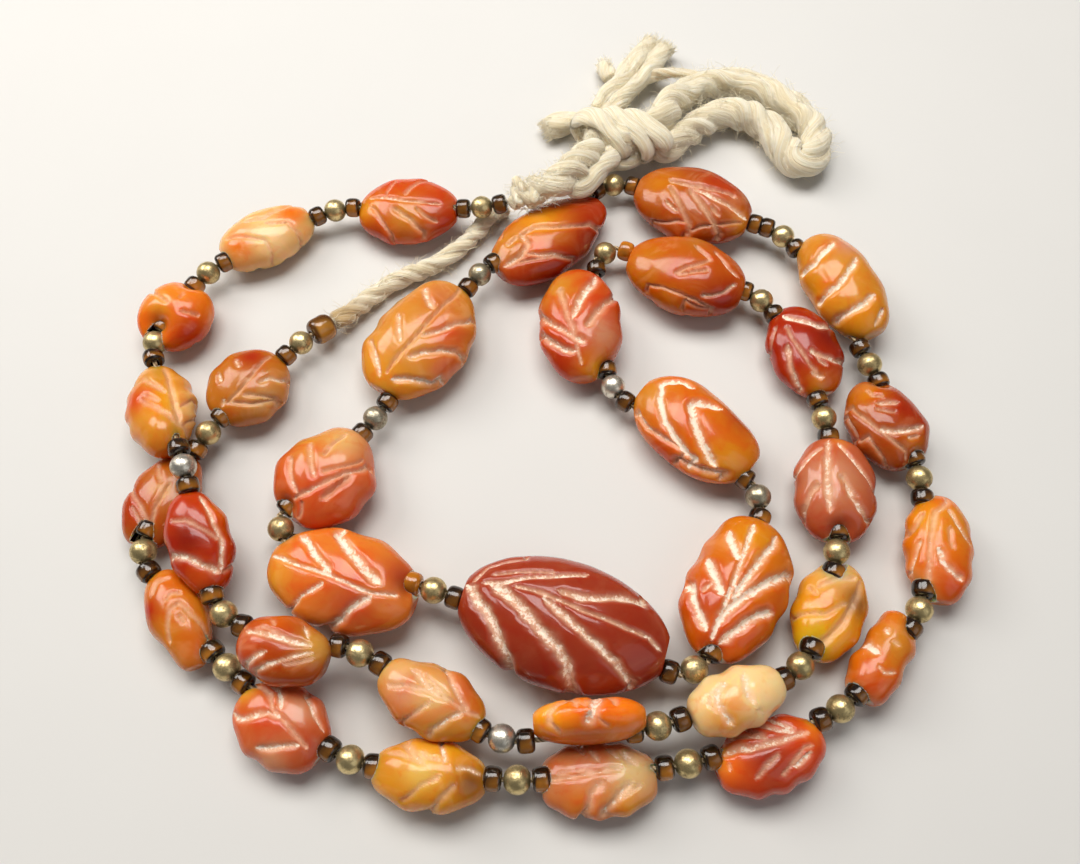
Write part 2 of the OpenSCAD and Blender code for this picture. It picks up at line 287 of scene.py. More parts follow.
cotton = {
    # shade is the colour of the painted shade in the ply valleys and of the darker fibres
    "cream": (248, 240, 216), "warm": (240, 226, 190), "shade": (186, 156, 108), "tan": (226, 202, 156),
    "glue": (184, 148, 84), "glueLong": 5.5, "gluedRough": 0.45, "rough": 0.9, "hairRough": 0.95,
    # Fibres and plies: scale of the fibres, of the yarns, and along the cord; unevenness of outline and of twist
    "across": 7.0, "yarn": 1.7, "along": 0.055, "fibreTurn": 0.75, "uneven": 0.22, "wander": 0.07, "wanderRate": 0.55,
    "calm": 0.35, "blunt": 0.25,
    # Hairs: half width, lowest height, and how they leave the cord, thin out, curl and fall
    "hairWide": 0.045, "tuftWide": 0.07, "hairFloor": 0.15, "hairStep": 0.4, "hairTaper": 0.6, "root": 0.88,
    "stand": (0.1, 0.8), "lie": (0.5, 1.2), "curl": 0.5, "tuftRoot": 0.95, "tuftRows": 6, "tuftCurl": 0.22,
    "tuftFall": 0.02,
    # Tail and loop
    "tailWide": 3.2, "loopWide": 5.0, "loopEnd": 0.8, "loopStep": 0.3, "loopCalm": (17, 42), "loopFloor": 1.2,
    "loopBulkAt": [0, 1, 3, 6, 8, 10, 13, 17], "loopBulk": (1, 1.1, 1.12, 1.12, 1.16, 1.2, 1.16, 1),
    "loopNudge": {
        5: (-0.2, -0.6), 6: (-0.6, -0.9), 7: (-0.7, -0.7), 11: (0.9, 0.9), 12: (0.9, 1.3), 13: (0.5, 1.3),
        14: (0.2, 0.9),
    },
    # Stem, knot and short ends
    "stemBulk": (0.7, 0.72, 0.85, 1.05, 1.1, 1.15, 1.2), "windWide": 1.5, "windTurns": 4.2, "windShare": 0.66,
    "windStart": 1.2, "windSink": 0.8, "knotBulk": 0.96, "doubleApart": 0.5, "doubleWide": 0.64, "doubleHigh": 0.92,
    "tipBulk": 0.5, "tuftBulk": 0.95,
}
# Ropes: plies, pitch in mm, how full the plies are, sides, seed, and how far the two ends are rounded
ropes = {
    "cottonTail": (3, 11, 0.64, 40, 3, (1, 0)), "cottonLoop": (3, 15, 0.66, 56, 7, (0, 0)),
    "cottonStem": (2, 9, 0.68, 48, 11, (0, 0)), "cottonStemWinding": (1, 6, 0.7, 16, 12, (0, 0)),
    "cottonStemKnob": (2, 9, 0.75, 24, 14, (0.8, 0.9)), "cottonSideStrand": (2, 30, 0.78, 30, 13, (1.2, 0)),
    "cottonKnot": (2, 30, 0.74, 60, 17, (2, 1.5)), "cottonKnotBand1": (2, 50, 0.8, 40, 19, (2, 2)),
    "cottonKnotBand2": (2, 50, 0.8, 40, 20, (2, 2)), "cottonKnotBand3": (2, 50, 0.8, 40, 21, (2, 2)),
    "cottonKnotUnder": (2, 24, 0.78, 32, 22, (1, 1)), "cottonDoubleEnd1": (2, 34, 0.8, 36, 27, (0.6, 0.8)),
    "cottonDoubleEnd2": (2, 34, 0.8, 36, 28, (0.6, 0.8)), "cottonFrayedEnd": (4, 30, 0.6, 48, 33, (0.5, 0.7)),
    "cottonShortEnd": (3, 25, 0.66, 40, 37, (0.4, 0.8)), "cottonThinStrand": (2, 22, 0.8, 28, 41, (0, 0)),
}
# Loose hairs along a rope: how many, seed, shortest and longest in mm
hairs = {
    "cottonTailHairs": (420, 5, (0.6, 2.6)), "cottonLoopHairs": (1300, 9, (0.8, 3.0)),
    "cottonStemHairs": (900, 15, (0.5, 2.2)), "cottonKnotHairs": (900, 23, (0.6, 2.4)),
    "cottonDoubleHairs": (700, 31, (0.6, 2.4)), "cottonThinHairs": (160, 43, (0.5, 1.6)),
}
# Combed-out ends: how many hairs, seed, how far they spread, shortest and longest in mm
tufts = {
    "cottonTailTip": (220, 6, 0.2, (0.8, 2.4)), "cottonDoubleTuft1": (320, 29, 0.25, (0.6, 1.8)),
    "cottonDoubleTuft2": (320, 30, 0.25, (0.6, 1.8)), "cottonFrayedTuft": (420, 35, 0.3, (0.4, 1.3)),
    "cottonShortTuft": (260, 39, 0.4, (0.5, 1.5)),
}
# Turns of the cord round the knot: x, first and last angle, how wide and how high the turn is
knotBands = [(12.2, -60, 190, 3.9, 3.5), (16.2, -65, 205, 3.9, 3.5), (19.6, -50, 170, 3.5, 3.2)]
knotTurn = {"y": 60.5, "z": 4.6, "slant": 4.2, "half": 2.3, "thick": 1.25, "steps": 13, "clear": 0.3}
knotUnder = [
    (8.6, 58.6, 4.6, 1.2, 1.2), (11, 57, 4.0, 2, 1.9), (14, 56, 3.4, 2.2, 1.9), (17, 56.6, 3.4, 2, 1.8),
    (19.4, 58.4, 4, 1.4, 1.4),
]
stemKnob = [(-2.2, 46.4, 7.6, 1, 1), (-2.9, 47.4, 7.9, 1.15, 1.1), (-3.4, 48.3, 7.7, 1, 1)]
# What the eye sees of the routes where they run on inside their neighbours
loopInKnot = [(18.6, 61.4, 5.2), (20.2, 58.6, 4.2)]
sideInStem = [
    (5.6, 45.4, 7.6, 1.0, 1.0), (8.6, 46.8, 7.2, 1.6, 1.5), (10.6, 49.6, 7.0, 1.8, 1.7), (12.4, 52.8, 6.4, 1.9, 1.8),
    (13.8, 56, 5.4, 1.8, 1.7), (15, 58.6, 5, 1.6, 1.6),
]
thinBetween = [
    (18.6, 75.2, 3.8, 1.2, 1.1), (21, 76, 3.7, 1.4, 1.2), (23.5, 76.9, 3.6, 1.3, 1.2), (26.4, 77.3, 3.5, 1.1, 1),
    (29.4, 77, 3.3, 1, 0.9), (32, 76.2, 3.2, 0.8, 0.8),
]


def cottonMaterial(name, hue):
    shop = Shop(name)
    along = shop.attribute("fibre", "Vector")
    fibres = shop.noise(along, cotton["across"], 3.0, 0.65)
    yarns = shop.noise(along, cotton["yarn"], 2.0, 0.5)
    # Painted shade: the valleys between the plies, where the surface lies deepest, are darkened towards the shade
    # colour
    plyValleyShade = (1.0 - shop.attribute("depth")).between(0.2, 1.0)
    cream = shop.mix(yarns.between(0.35, 0.7), linear(hue), linear(cotton["cream"]))
    glued = (shop.attribute("glued") * (fibres + 0.35)).clamp()  # only the tail's tip carries this mark
    cream = shop.mix(glued, cream, linear(cotton["glue"]))
    # Darkening is painted shade in the ply valleys plus darker fibre and yarn tone
    valleyShadeAndFibreTone = plyValleyShade * 0.46 + (1.0 - fibres).between(0.44, 0.7) * 0.32 + (1.0 - yarns).between(0.5, 0.7) * 0.16
    height = fibres * 0.55 + yarns * 0.9
    return shop.finish({
        "Base Color": shop.mix(valleyShadeAndFibreTone, cream, linear(cotton["shade"])),
        "Roughness": cotton["rough"] - glued * cotton["gluedRough"],
        "Specular IOR Level": 0.15, "Subsurface Weight": 0.35, "Subsurface Radius": (1.0, 0.85, 0.6),
        "Subsurface Scale": 0.0008, "Sheen Weight": 0.5, "Sheen Roughness": 0.6,
        "Normal": shop.bump(height, 0.0004, 1.0),
    })


def hairMaterial():
    shop = Shop("cottonHair")
    colour = shop.mix(shop.noise(shop.place(), 500.0), linear(cotton["warm"]), linear(cotton["cream"]))
    look = {"Base Color": colour, "Roughness": cotton["hairRough"], "Specular IOR Level": 0.1, "Sheen Weight": 0.6}
    return shop.finish(look)


def smoothRoute(route, step=0.25):  # Catmull-Rom through the rows, even in length
    rows = np.array(route, float)
    ends = np.vstack([2 * rows[0] - rows[1], rows, 2 * rows[-1] - rows[-2]])
    fine = []
    for i in range(1, len(ends) - 2):
        a, b, c, d = ends[i - 1:i + 3]
        for t in np.linspace(0, 1, 24, endpoint=False):
            fine.append(0.5 * (2 * b + (c - a) * t + (2 * a - 5 * b + 4 * c - d) * t * t
                               + (3 * b - a - 3 * c + d) * t ** 3))
    fine = np.array(fine + [rows[-1]])
    run = np.r_[0, np.cumsum(np.linalg.norm(np.diff(fine[:, :3], axis=0), axis=1))]
    where = np.linspace(0, run[-1], max(4, int(run[-1] / step) + 1))
    return np.column_stack([np.interp(where, run, fine[:, i]) for i in range(fine.shape[1])]), where


def routeFrames(path):
    ahead = np.gradient(path[:, :3], axis=0)
    ahead /= np.linalg.norm(ahead, axis=1, keepdims=True)
    side = np.cross([0, 0, 1], ahead)
    side /= np.linalg.norm(side, axis=1, keepdims=True)
    return ahead, side, np.cross(ahead, side)


def lobes(angle, plies, bulk):  # outline of plies lying together, 1 at their tops
    best = np.zeros_like(angle)
    for i in range(plies):
        turn = angle - 2 * math.pi * i / plies
        inside = bulk ** 2 - ((1 - bulk) * np.sin(turn)) ** 2
        best = np.maximum(best, (1 - bulk) * np.cos(turn) + np.sqrt(np.maximum(inside, 0)))
    return best


def makeRope(name, route, step=0.25, calm=(0, 0)):
    plies, pitch, bulk, sides, seed, taper = ropes[name]
    dice = np.random.default_rng(seed)
    path, run = smoothRoute(route, step)
    hurry = np.where((run > calm[0]) & (run < calm[1]), cotton["calm"], 1.0)  # less twist in the calm stretch
    turns = np.cumsum(np.gradient(run) * np.convolve(np.pad(hurry, 20, "edge"), np.ones(41) / 41, "valid")) / pitch
    _, side, upward = routeFrames(path)
    around = np.linspace(0, 2 * math.pi, sides, endpoint=False)
    waves = [(dice.uniform(0.25, 1.3), dice.uniform(0, 6.3), dice.integers(0, 4)) for _ in range(8)]
    points, fibre, depth = [], [], []
    for i, (row, s) in enumerate(zip(path, run)):
        twist = 2 * math.pi * (turns[i] + cotton["wander"] * math.sin(s * cotton["wanderRate"] + seed))
        ripple = sum(np.sin(w * s + p + n * (around - twist)) for w, p, n in waves) * cotton["uneven"] / 8
        shape = (lobes(around - twist, plies, bulk) if plies > 1 else 1) * (1 + ripple)
        for gone, long in zip((s, run[-1] - s), taper):
            if gone < long:
                shape = shape * (cotton["blunt"] + (1 - cotton["blunt"]) * math.sqrt(1 - (1 - gone / long) ** 2))
        points.append(row[:3] + np.outer(np.cos(around) * shape * row[3], side[i])
                      + np.outer(np.sin(around) * shape * row[4], upward[i]))
        skew, along = around - twist * cotton["fibreTurn"], np.full(sides, s * cotton["along"])
        fibre.append(np.column_stack([np.cos(skew) * row[3], np.sin(skew) * row[3], along]))
        # How far out each point stands, 1 on the plies' tops; the material paints shade into the valleys from it
        depth.append((shape / shape.max()) ** 1.5)
    count = len(path)
    points = np.vstack(points + [path[:1, :3], path[-1:, :3]])
    fibre = np.vstack(fibre + [fibre[0][:1], fibre[-1][:1]])
    depth = np.r_[np.concatenate(depth), 0.4, 0.4]
    faces = gridFaces(count, sides) + capFaces(count, sides)
    return makeObject(name, points, faces, {"depth": depth}, vectors={"fibre": fibre}), path[:, :3] * mm


def makeHairs(name, starts, ways, lengths, seed, wide, curl, fall=0.0, steps=6):
    dice = np.random.default_rng(seed)
    points, faces = [], []
    for start, way, long in zip(starts, ways, lengths):
        at, ahead = np.array(start, float), unit(np.array(way, float))
        base = len(points)
        for i in range(steps):
            side = unit(np.cross(ahead, [0.3, 0.2, 1]))
            up = np.cross(ahead, side)
            r = wide * (1 - cotton["hairTaper"] * i / (steps - 1))
            points += [at + side * math.cos(turn) * r + up * math.sin(turn) * r for turn in (0, 2.1, 4.2)]
            ahead = unit(ahead + dice.normal(0, curl, 3) * 0.5 - np.array([0, 0, fall]))
            at = at + ahead * long / (steps - 1)
            at[2] = max(at[2], cotton["hairFloor"])
        faces += gridFaces(steps, 3, base)
        end = base + (steps - 1) * 3
        faces += [(base, base + 2, base + 1), (end, end + 1, end + 2)]
    return makeObject(name, points, faces)


def fuzz(name, route):  # loose hairs that stand off a cord
    count, seed, long = hairs[name]
    dice = np.random.default_rng(seed)
    path, _ = smoothRoute(route, cotton["hairStep"])
    ahead, side, upward = routeFrames(path)
    starts, ways = [], []
    for _ in range(count):
        i, a = dice.integers(0, len(path)), dice.uniform(0, 2 * math.pi)
        out = side[i] * math.cos(a) * path[i, 3] + upward[i] * math.sin(a) * path[i, 4]
        starts.append(path[i, :3] + out * cotton["root"])
        outward = unit(out) * dice.uniform(*cotton["stand"])
        ways.append(outward + ahead[i] * dice.choice([-1, 1]) * dice.uniform(*cotton["lie"]))
    return makeHairs(name, starts, ways, dice.uniform(*long, count), seed + 1, cotton["hairWide"], cotton["curl"])


def tuft(name, route):  # the cut and combed-out end of a cord
    count, seed, spread, long = tufts[name]
    dice = np.random.default_rng(seed)
    path, _ = smoothRoute(route, cotton["hairStep"])
    ahead, side, upward = routeFrames(path)
    starts, ways = [], []
    for _ in range(count):
        a, r = dice.uniform(0, 2 * math.pi), math.sqrt(dice.uniform(0, 1))
        i = -1 - dice.integers(0, cotton["tuftRows"])
        out = side[i] * math.cos(a) * r * path[i, 3] + upward[i] * math.sin(a) * r * path[i, 4]
        starts.append(path[i, :3] + out * cotton["tuftRoot"])
        ways.append(ahead[i] + out / path[i, 3] * spread)
    lengths, wide = dice.uniform(*long, count), cotton["tuftWide"]
    return makeHairs(name, starts, ways, lengths, seed + 1, wide, cotton["tuftCurl"], cotton["tuftFall"])


def rounded(route, wide, share=1.0):  # rows of a round cord, narrower at its two ends
    last = len(route) - 1
    return [(*p, *([wide / 2 * (share if i in (0, last) else 1)] * 2)) for i, p in enumerate(route)]


def scaled(route, shares):
    shares = shares if hasattr(shares, "__len__") else [shares] * len(route)
    return [(*row[:3], row[3] * k, row[4] * k) for row, k in zip(route, shares)]


def winding(turns, share):  # the strand wound round the start of the stem
    path, run = smoothRoute(stemRoute[:4], 0.2)
    _, side, upward = routeFrames(path)
    keep = run / run[-1] < share
    rows, r = [], cotton["windWide"] / 2
    sunk = r * cotton["windSink"]
    for s, row, e, u in zip(run[keep], path[keep], side[keep], upward[keep]):
        a = 2 * math.pi * turns * s / run[keep][-1] + cotton["windStart"]
        middle = row[:3] + e * math.cos(a) * (row[3] - sunk) + u * math.sin(a) * (row[4] - sunk)
        rows.append((*middle, r, r))
    return rows[::3]


def knotBand(x, start, stop, wide, high):  # one turn of the cord round the knot
    rows, thick = [], knotTurn["thick"]
    for a in np.linspace(math.radians(start), math.radians(stop), knotTurn["steps"]):
        z = max(thick + knotTurn["clear"], knotTurn["z"] + math.sin(a) * high)
        rows.append((x + knotTurn["slant"] * math.sin(a - math.pi / 2), knotTurn["y"] + math.cos(a) * wide, z,
                     knotTurn["half"], thick))
    return rows


def beside(route, shift, share):  # a strand that lies to one side of the route's middle
    rows = np.array(route, float)
    _, side, _ = routeFrames(rows)
    high = cotton["doubleHigh"]
    return [(*(row[:3] + side[i] * row[3] * shift), row[3] * share, row[4] * high) for i, row in enumerate(rows)]


def loopRows():
    rows = rounded([loopInKnot[0], *loopRoute, loopInKnot[1]], cotton["loopWide"], cotton["loopEnd"])
    rows = scaled(rows, np.interp(range(len(rows)), cotton["loopBulkAt"], cotton["loopBulk"]))
    for i, (x, y) in cotton["loopNudge"].items():  # the two sides of the loop lie against each other
        rows[i] = (rows[i][0] + x, rows[i][1] + y, *rows[i][2:])
    return [(x, y, max(z, high * cotton["loopFloor"]), wide, high) for x, y, z, wide, high in rows]  # above the floor


def makeCotton():
    cream, tan = cottonMaterial("cottonCream", cotton["warm"]), cottonMaterial("cottonTan", cotton["tan"])
    hair = hairMaterial()

    def rope(name, rows, nodes=(), material=cream):
        return dress(makeRope(name, rows)[0], material, nodes)

    def loose(make, name, rows):
        return dress(make(name, rows), hair)

    tailRows = rounded(tailRoute, cotton["tailWide"])
    tail, tailPath = makeRope("cottonTail", tailRows)
    fromTip = np.linalg.norm(np.array([vert.co for vert in tail.data.vertices]) - tailPath[0], axis=1) / mm
    glued = np.exp(-(fromTip / cotton["glueLong"]) ** 4)
    tail.data.attributes.new("glued", "FLOAT", "POINT").data.foreach_set("value", glued)
    dress(tail, cream, ["cotton_tail"])
    onTail = [loose(fuzz, "cottonTailHairs", tailRows),
              loose(tuft, "cottonTailTip", scaled(tailRows[2::-1], cotton["tipBulk"]))]

    rows = loopRows()
    loop, loopPath = makeRope("cottonLoop", rows, cotton["loopStep"], cotton["loopCalm"])
    dress(loop, cream, ["cotton_loop"])
    onLoop = [
        loose(fuzz, "cottonLoopHairs", rows),
        rope("cottonStem", scaled(stemRoute, cotton["stemBulk"]), ["cotton_stem"]),
        rope("cottonStemWinding", winding(cotton["windTurns"], cotton["windShare"])),
        rope("cottonStemKnob", stemKnob),
        rope("cottonSideStrand", sideInStem, ["cotton_side_strand"]),
        loose(fuzz, "cottonStemHairs", stemRoute),
        rope("cottonKnot", scaled(knotRoute, cotton["knotBulk"]), ["cotton_knot"]),
    ]
    onLoop += [rope("cottonKnotBand" + str(i + 1), knotBand(*turn)) for i, turn in enumerate(knotBands)]
    onLoop += [rope("cottonKnotUnder", knotUnder), loose(fuzz, "cottonKnotHairs", knotRoute)]
    for number, way, nodes in (("1", 1, ["cotton_double_end"]), ("2", -1, [])):
        rows = beside(doubleRoute, way * cotton["doubleApart"], cotton["doubleWide"])
        onLoop += [rope("cottonDoubleEnd" + number, rows, nodes), loose(tuft, "cottonDoubleTuft" + number, rows)]
    onLoop += [
        loose(fuzz, "cottonDoubleHairs", doubleRoute),
        rope("cottonFrayedEnd", frayedRoute, ["cotton_frayed_end"]),
        loose(tuft, "cottonFrayedTuft", scaled(frayedRoute, cotton["tuftBulk"])),
        rope("cottonShortEnd", shortRoute, ["cotton_short_end"]),
        loose(tuft, "cottonShortTuft", scaled(shortRoute, cotton["tuftBulk"])),
        rope("cottonThinStrand", thinBetween, ["cotton_thin_strand"], tan),
        loose(fuzz, "cottonThinHairs", thinBetween),
    ]


makeCotton()
print("cotton made")

brass = {
    "gold": (226, 204, 150), "olive": (186, 164, 108), "silver": (236, 234, 226), "grey": (190, 184, 166),
    "dark": (92, 74, 44), "silvery": [4, 7, 14], "greyish": [15, 19, 20], "blend": 0.45, "rough": 0.36, "metal": 0.92,
    "patches": 700.0, "specks": 3200.0, "around": 28, "along": 14, "wobble": 0.012, "sharp": 60,
    "rimWide": 0.18, "lip": [(0.02, 0.1), (-0.06, 0.02), (-0.2, 0)],
}
glass = {
    # glow, glows, glowWay and endLit are painted glow: a lit colour painted on the side of each bead away from the
    # light
    "brown": (40, 24, 11), "glow": (204, 130, 38), "amber": (206, 124, 24), "amberOnes": [(13, -1), (17, 1)],
    "endColour": (104, 62, 18), "endLit": (214, 150, 56), "shades": (0.7, 1.2), "glows": (0.35, 1.2),
    "glowWay": (0.35, -0.75, 0.1), "rough": 0.1, "clear": 0.35, "swirls": 520.0,
    "longer": 0.42, "wider": 0.26, "clearance": 0.04, "square": 0.66, "around": 24, "along": 19, "wobble": 0.015,
    "endAround": 40, "endWobble": 0.03, "sharp": 60, "shoulder": 0.08, "lip": [(0.04, 0.03), (0.2, 0)],
}
# A little larger than in the CAD, because the rounding takes off at the edges
glassSize = np.array([strand["glassWide"] + glass["wider"], strand["glassLong"] + glass["longer"]])

Stone = namedtuple("Stone", "x y heading roll long wide thick lift egg lobes bulge finish")
# In millimetres and degrees, as in the CAD. Lobes are the scallops a side, finish names a material
stoneRows = [Stone(*row) for row in [
    (-22, 44.5, 180, 0, 16, 13.5, 7.5, 0, 0, 3, 2, "red"),
    (-46, 39, 212, 0, 15.5, 11, 7, 0, 0, 2, 2.2, "pale"),
    (-58.5, 23, 244, 0, 12, 12, 8, 0, 0, 0, 2, "orange"),
    (-57.5, 5.5, 290, 0, 15, 11, 7, 1, 0, 4, 2, "amber"),
    (-47.5, -16.5, 292, 0, 15, 9.5, 7, 3, 0, 3, 2, "maroon"),
    (-33.5, -32, 343, 0, 12.5, 9.5, 7, 4, 0, 2, 2.2, "amber"),
    (-13.5, -38, 332, 0, 15, 10, 7, 2.5, 0, 3, 2, "orange"),
    (7.5, -41, 3, 80, 14.5, 9.5, 5.5, 2.5, 0, 2, 2.5, "orange"),
    (26.5, -38.5, 22, 0, 12, 8.5, 7.5, 3.5, 0, 3, 2.5, "pale"),
    (42, -25.5, 63, 0, 15, 10.5, 6.5, 0, 0, 3, 2, "amber"),
    (45, -7.5, 84, 0, 16, 12.5, 8, 0, 0, 3, 2.2, "maroon"),
    (43.5, 16.5, 104, 0, 16, 12, 7.5, 0, 0, 3, 2, "red"),
    (25.5, 30.5, 159, 0, 19, 14.5, 9, 0, 0, 2, 2, "orange"),
    (7.5, 21, 272, 0, 20, 14, 9, 0, 0, 3, 2, "red"),
    (25, 2.5, 320, 0, 20.5, 15, 9, 0, 0, 0, 2, "orange"),
    (28.5, -22.5, 248, 0, 21.5, 15.5, 9, 0, -0.1, 4, 2.1, "orange"),
    (4, -28, 163, 0, 28, 18, 12, 0, 0, 0, 2, "maroon"),
    (-27, -21.5, 162, 0, 22, 15, 9, 0, 0, 3, 2, "red"),
    (-31, -5.5, 56, 0, 16, 15.5, 9, 0, 0, 3, 2, "red"),
    (-18.5, 18.5, 61, 0, 21, 17.5, 9, 0, 0, 4, 2, "amber"),
    (2.5, 38.5, 42, 0, 22, 13.5, 7.5, 0, -0.1, 3, 2, "red"),
    (27.5, 45.5, 338, 0, 20, 15, 8.5, 0, 0, 2, 2, "orange"),
    (51, 28.5, 292, 0, 20, 12, 9, 0, 0, 3, 2.2, "orange"),
    (54.5, 3.5, 286, 0, 15, 12.5, 8, 0, 0, 3, 2, "red"),
    (59, -16.5, 261, 0, 16, 10, 7, 0, 0, 4, 2.2, "orange"),
    (48.5, -32, 236, 0, 13.5, 8, 7, 0, 0, 3, 2.8, "orange"),
    (31.5, -45, 200, 0, 15, 10, 7, 0, 0, 4, 2, "maroon"),
    (8.5, -48, 182, 10, 14.5, 10, 6, 0, 0, 4, 2.4, "red"),
    (-13.5, -47.5, 174, 0, 15, 9.5, 7.5, 0, 0, 3, 2, "amber"),
    (-33.5, -41.5, 146, 0, 13, 12, 7, 0, 0, 3, 2, "red"),
    (-50, -27, 117, 0, 15, 9, 7, 0, 0, 2, 2, "orange"),
    (-55.5, -9, 71, 0, 14.5, 11, 6, 0, 0, 3, 2, "red"),
    (-45, 10, 52, 0, 13, 13, 7.5, 0, 0, 3, 2, "orange"),
]]
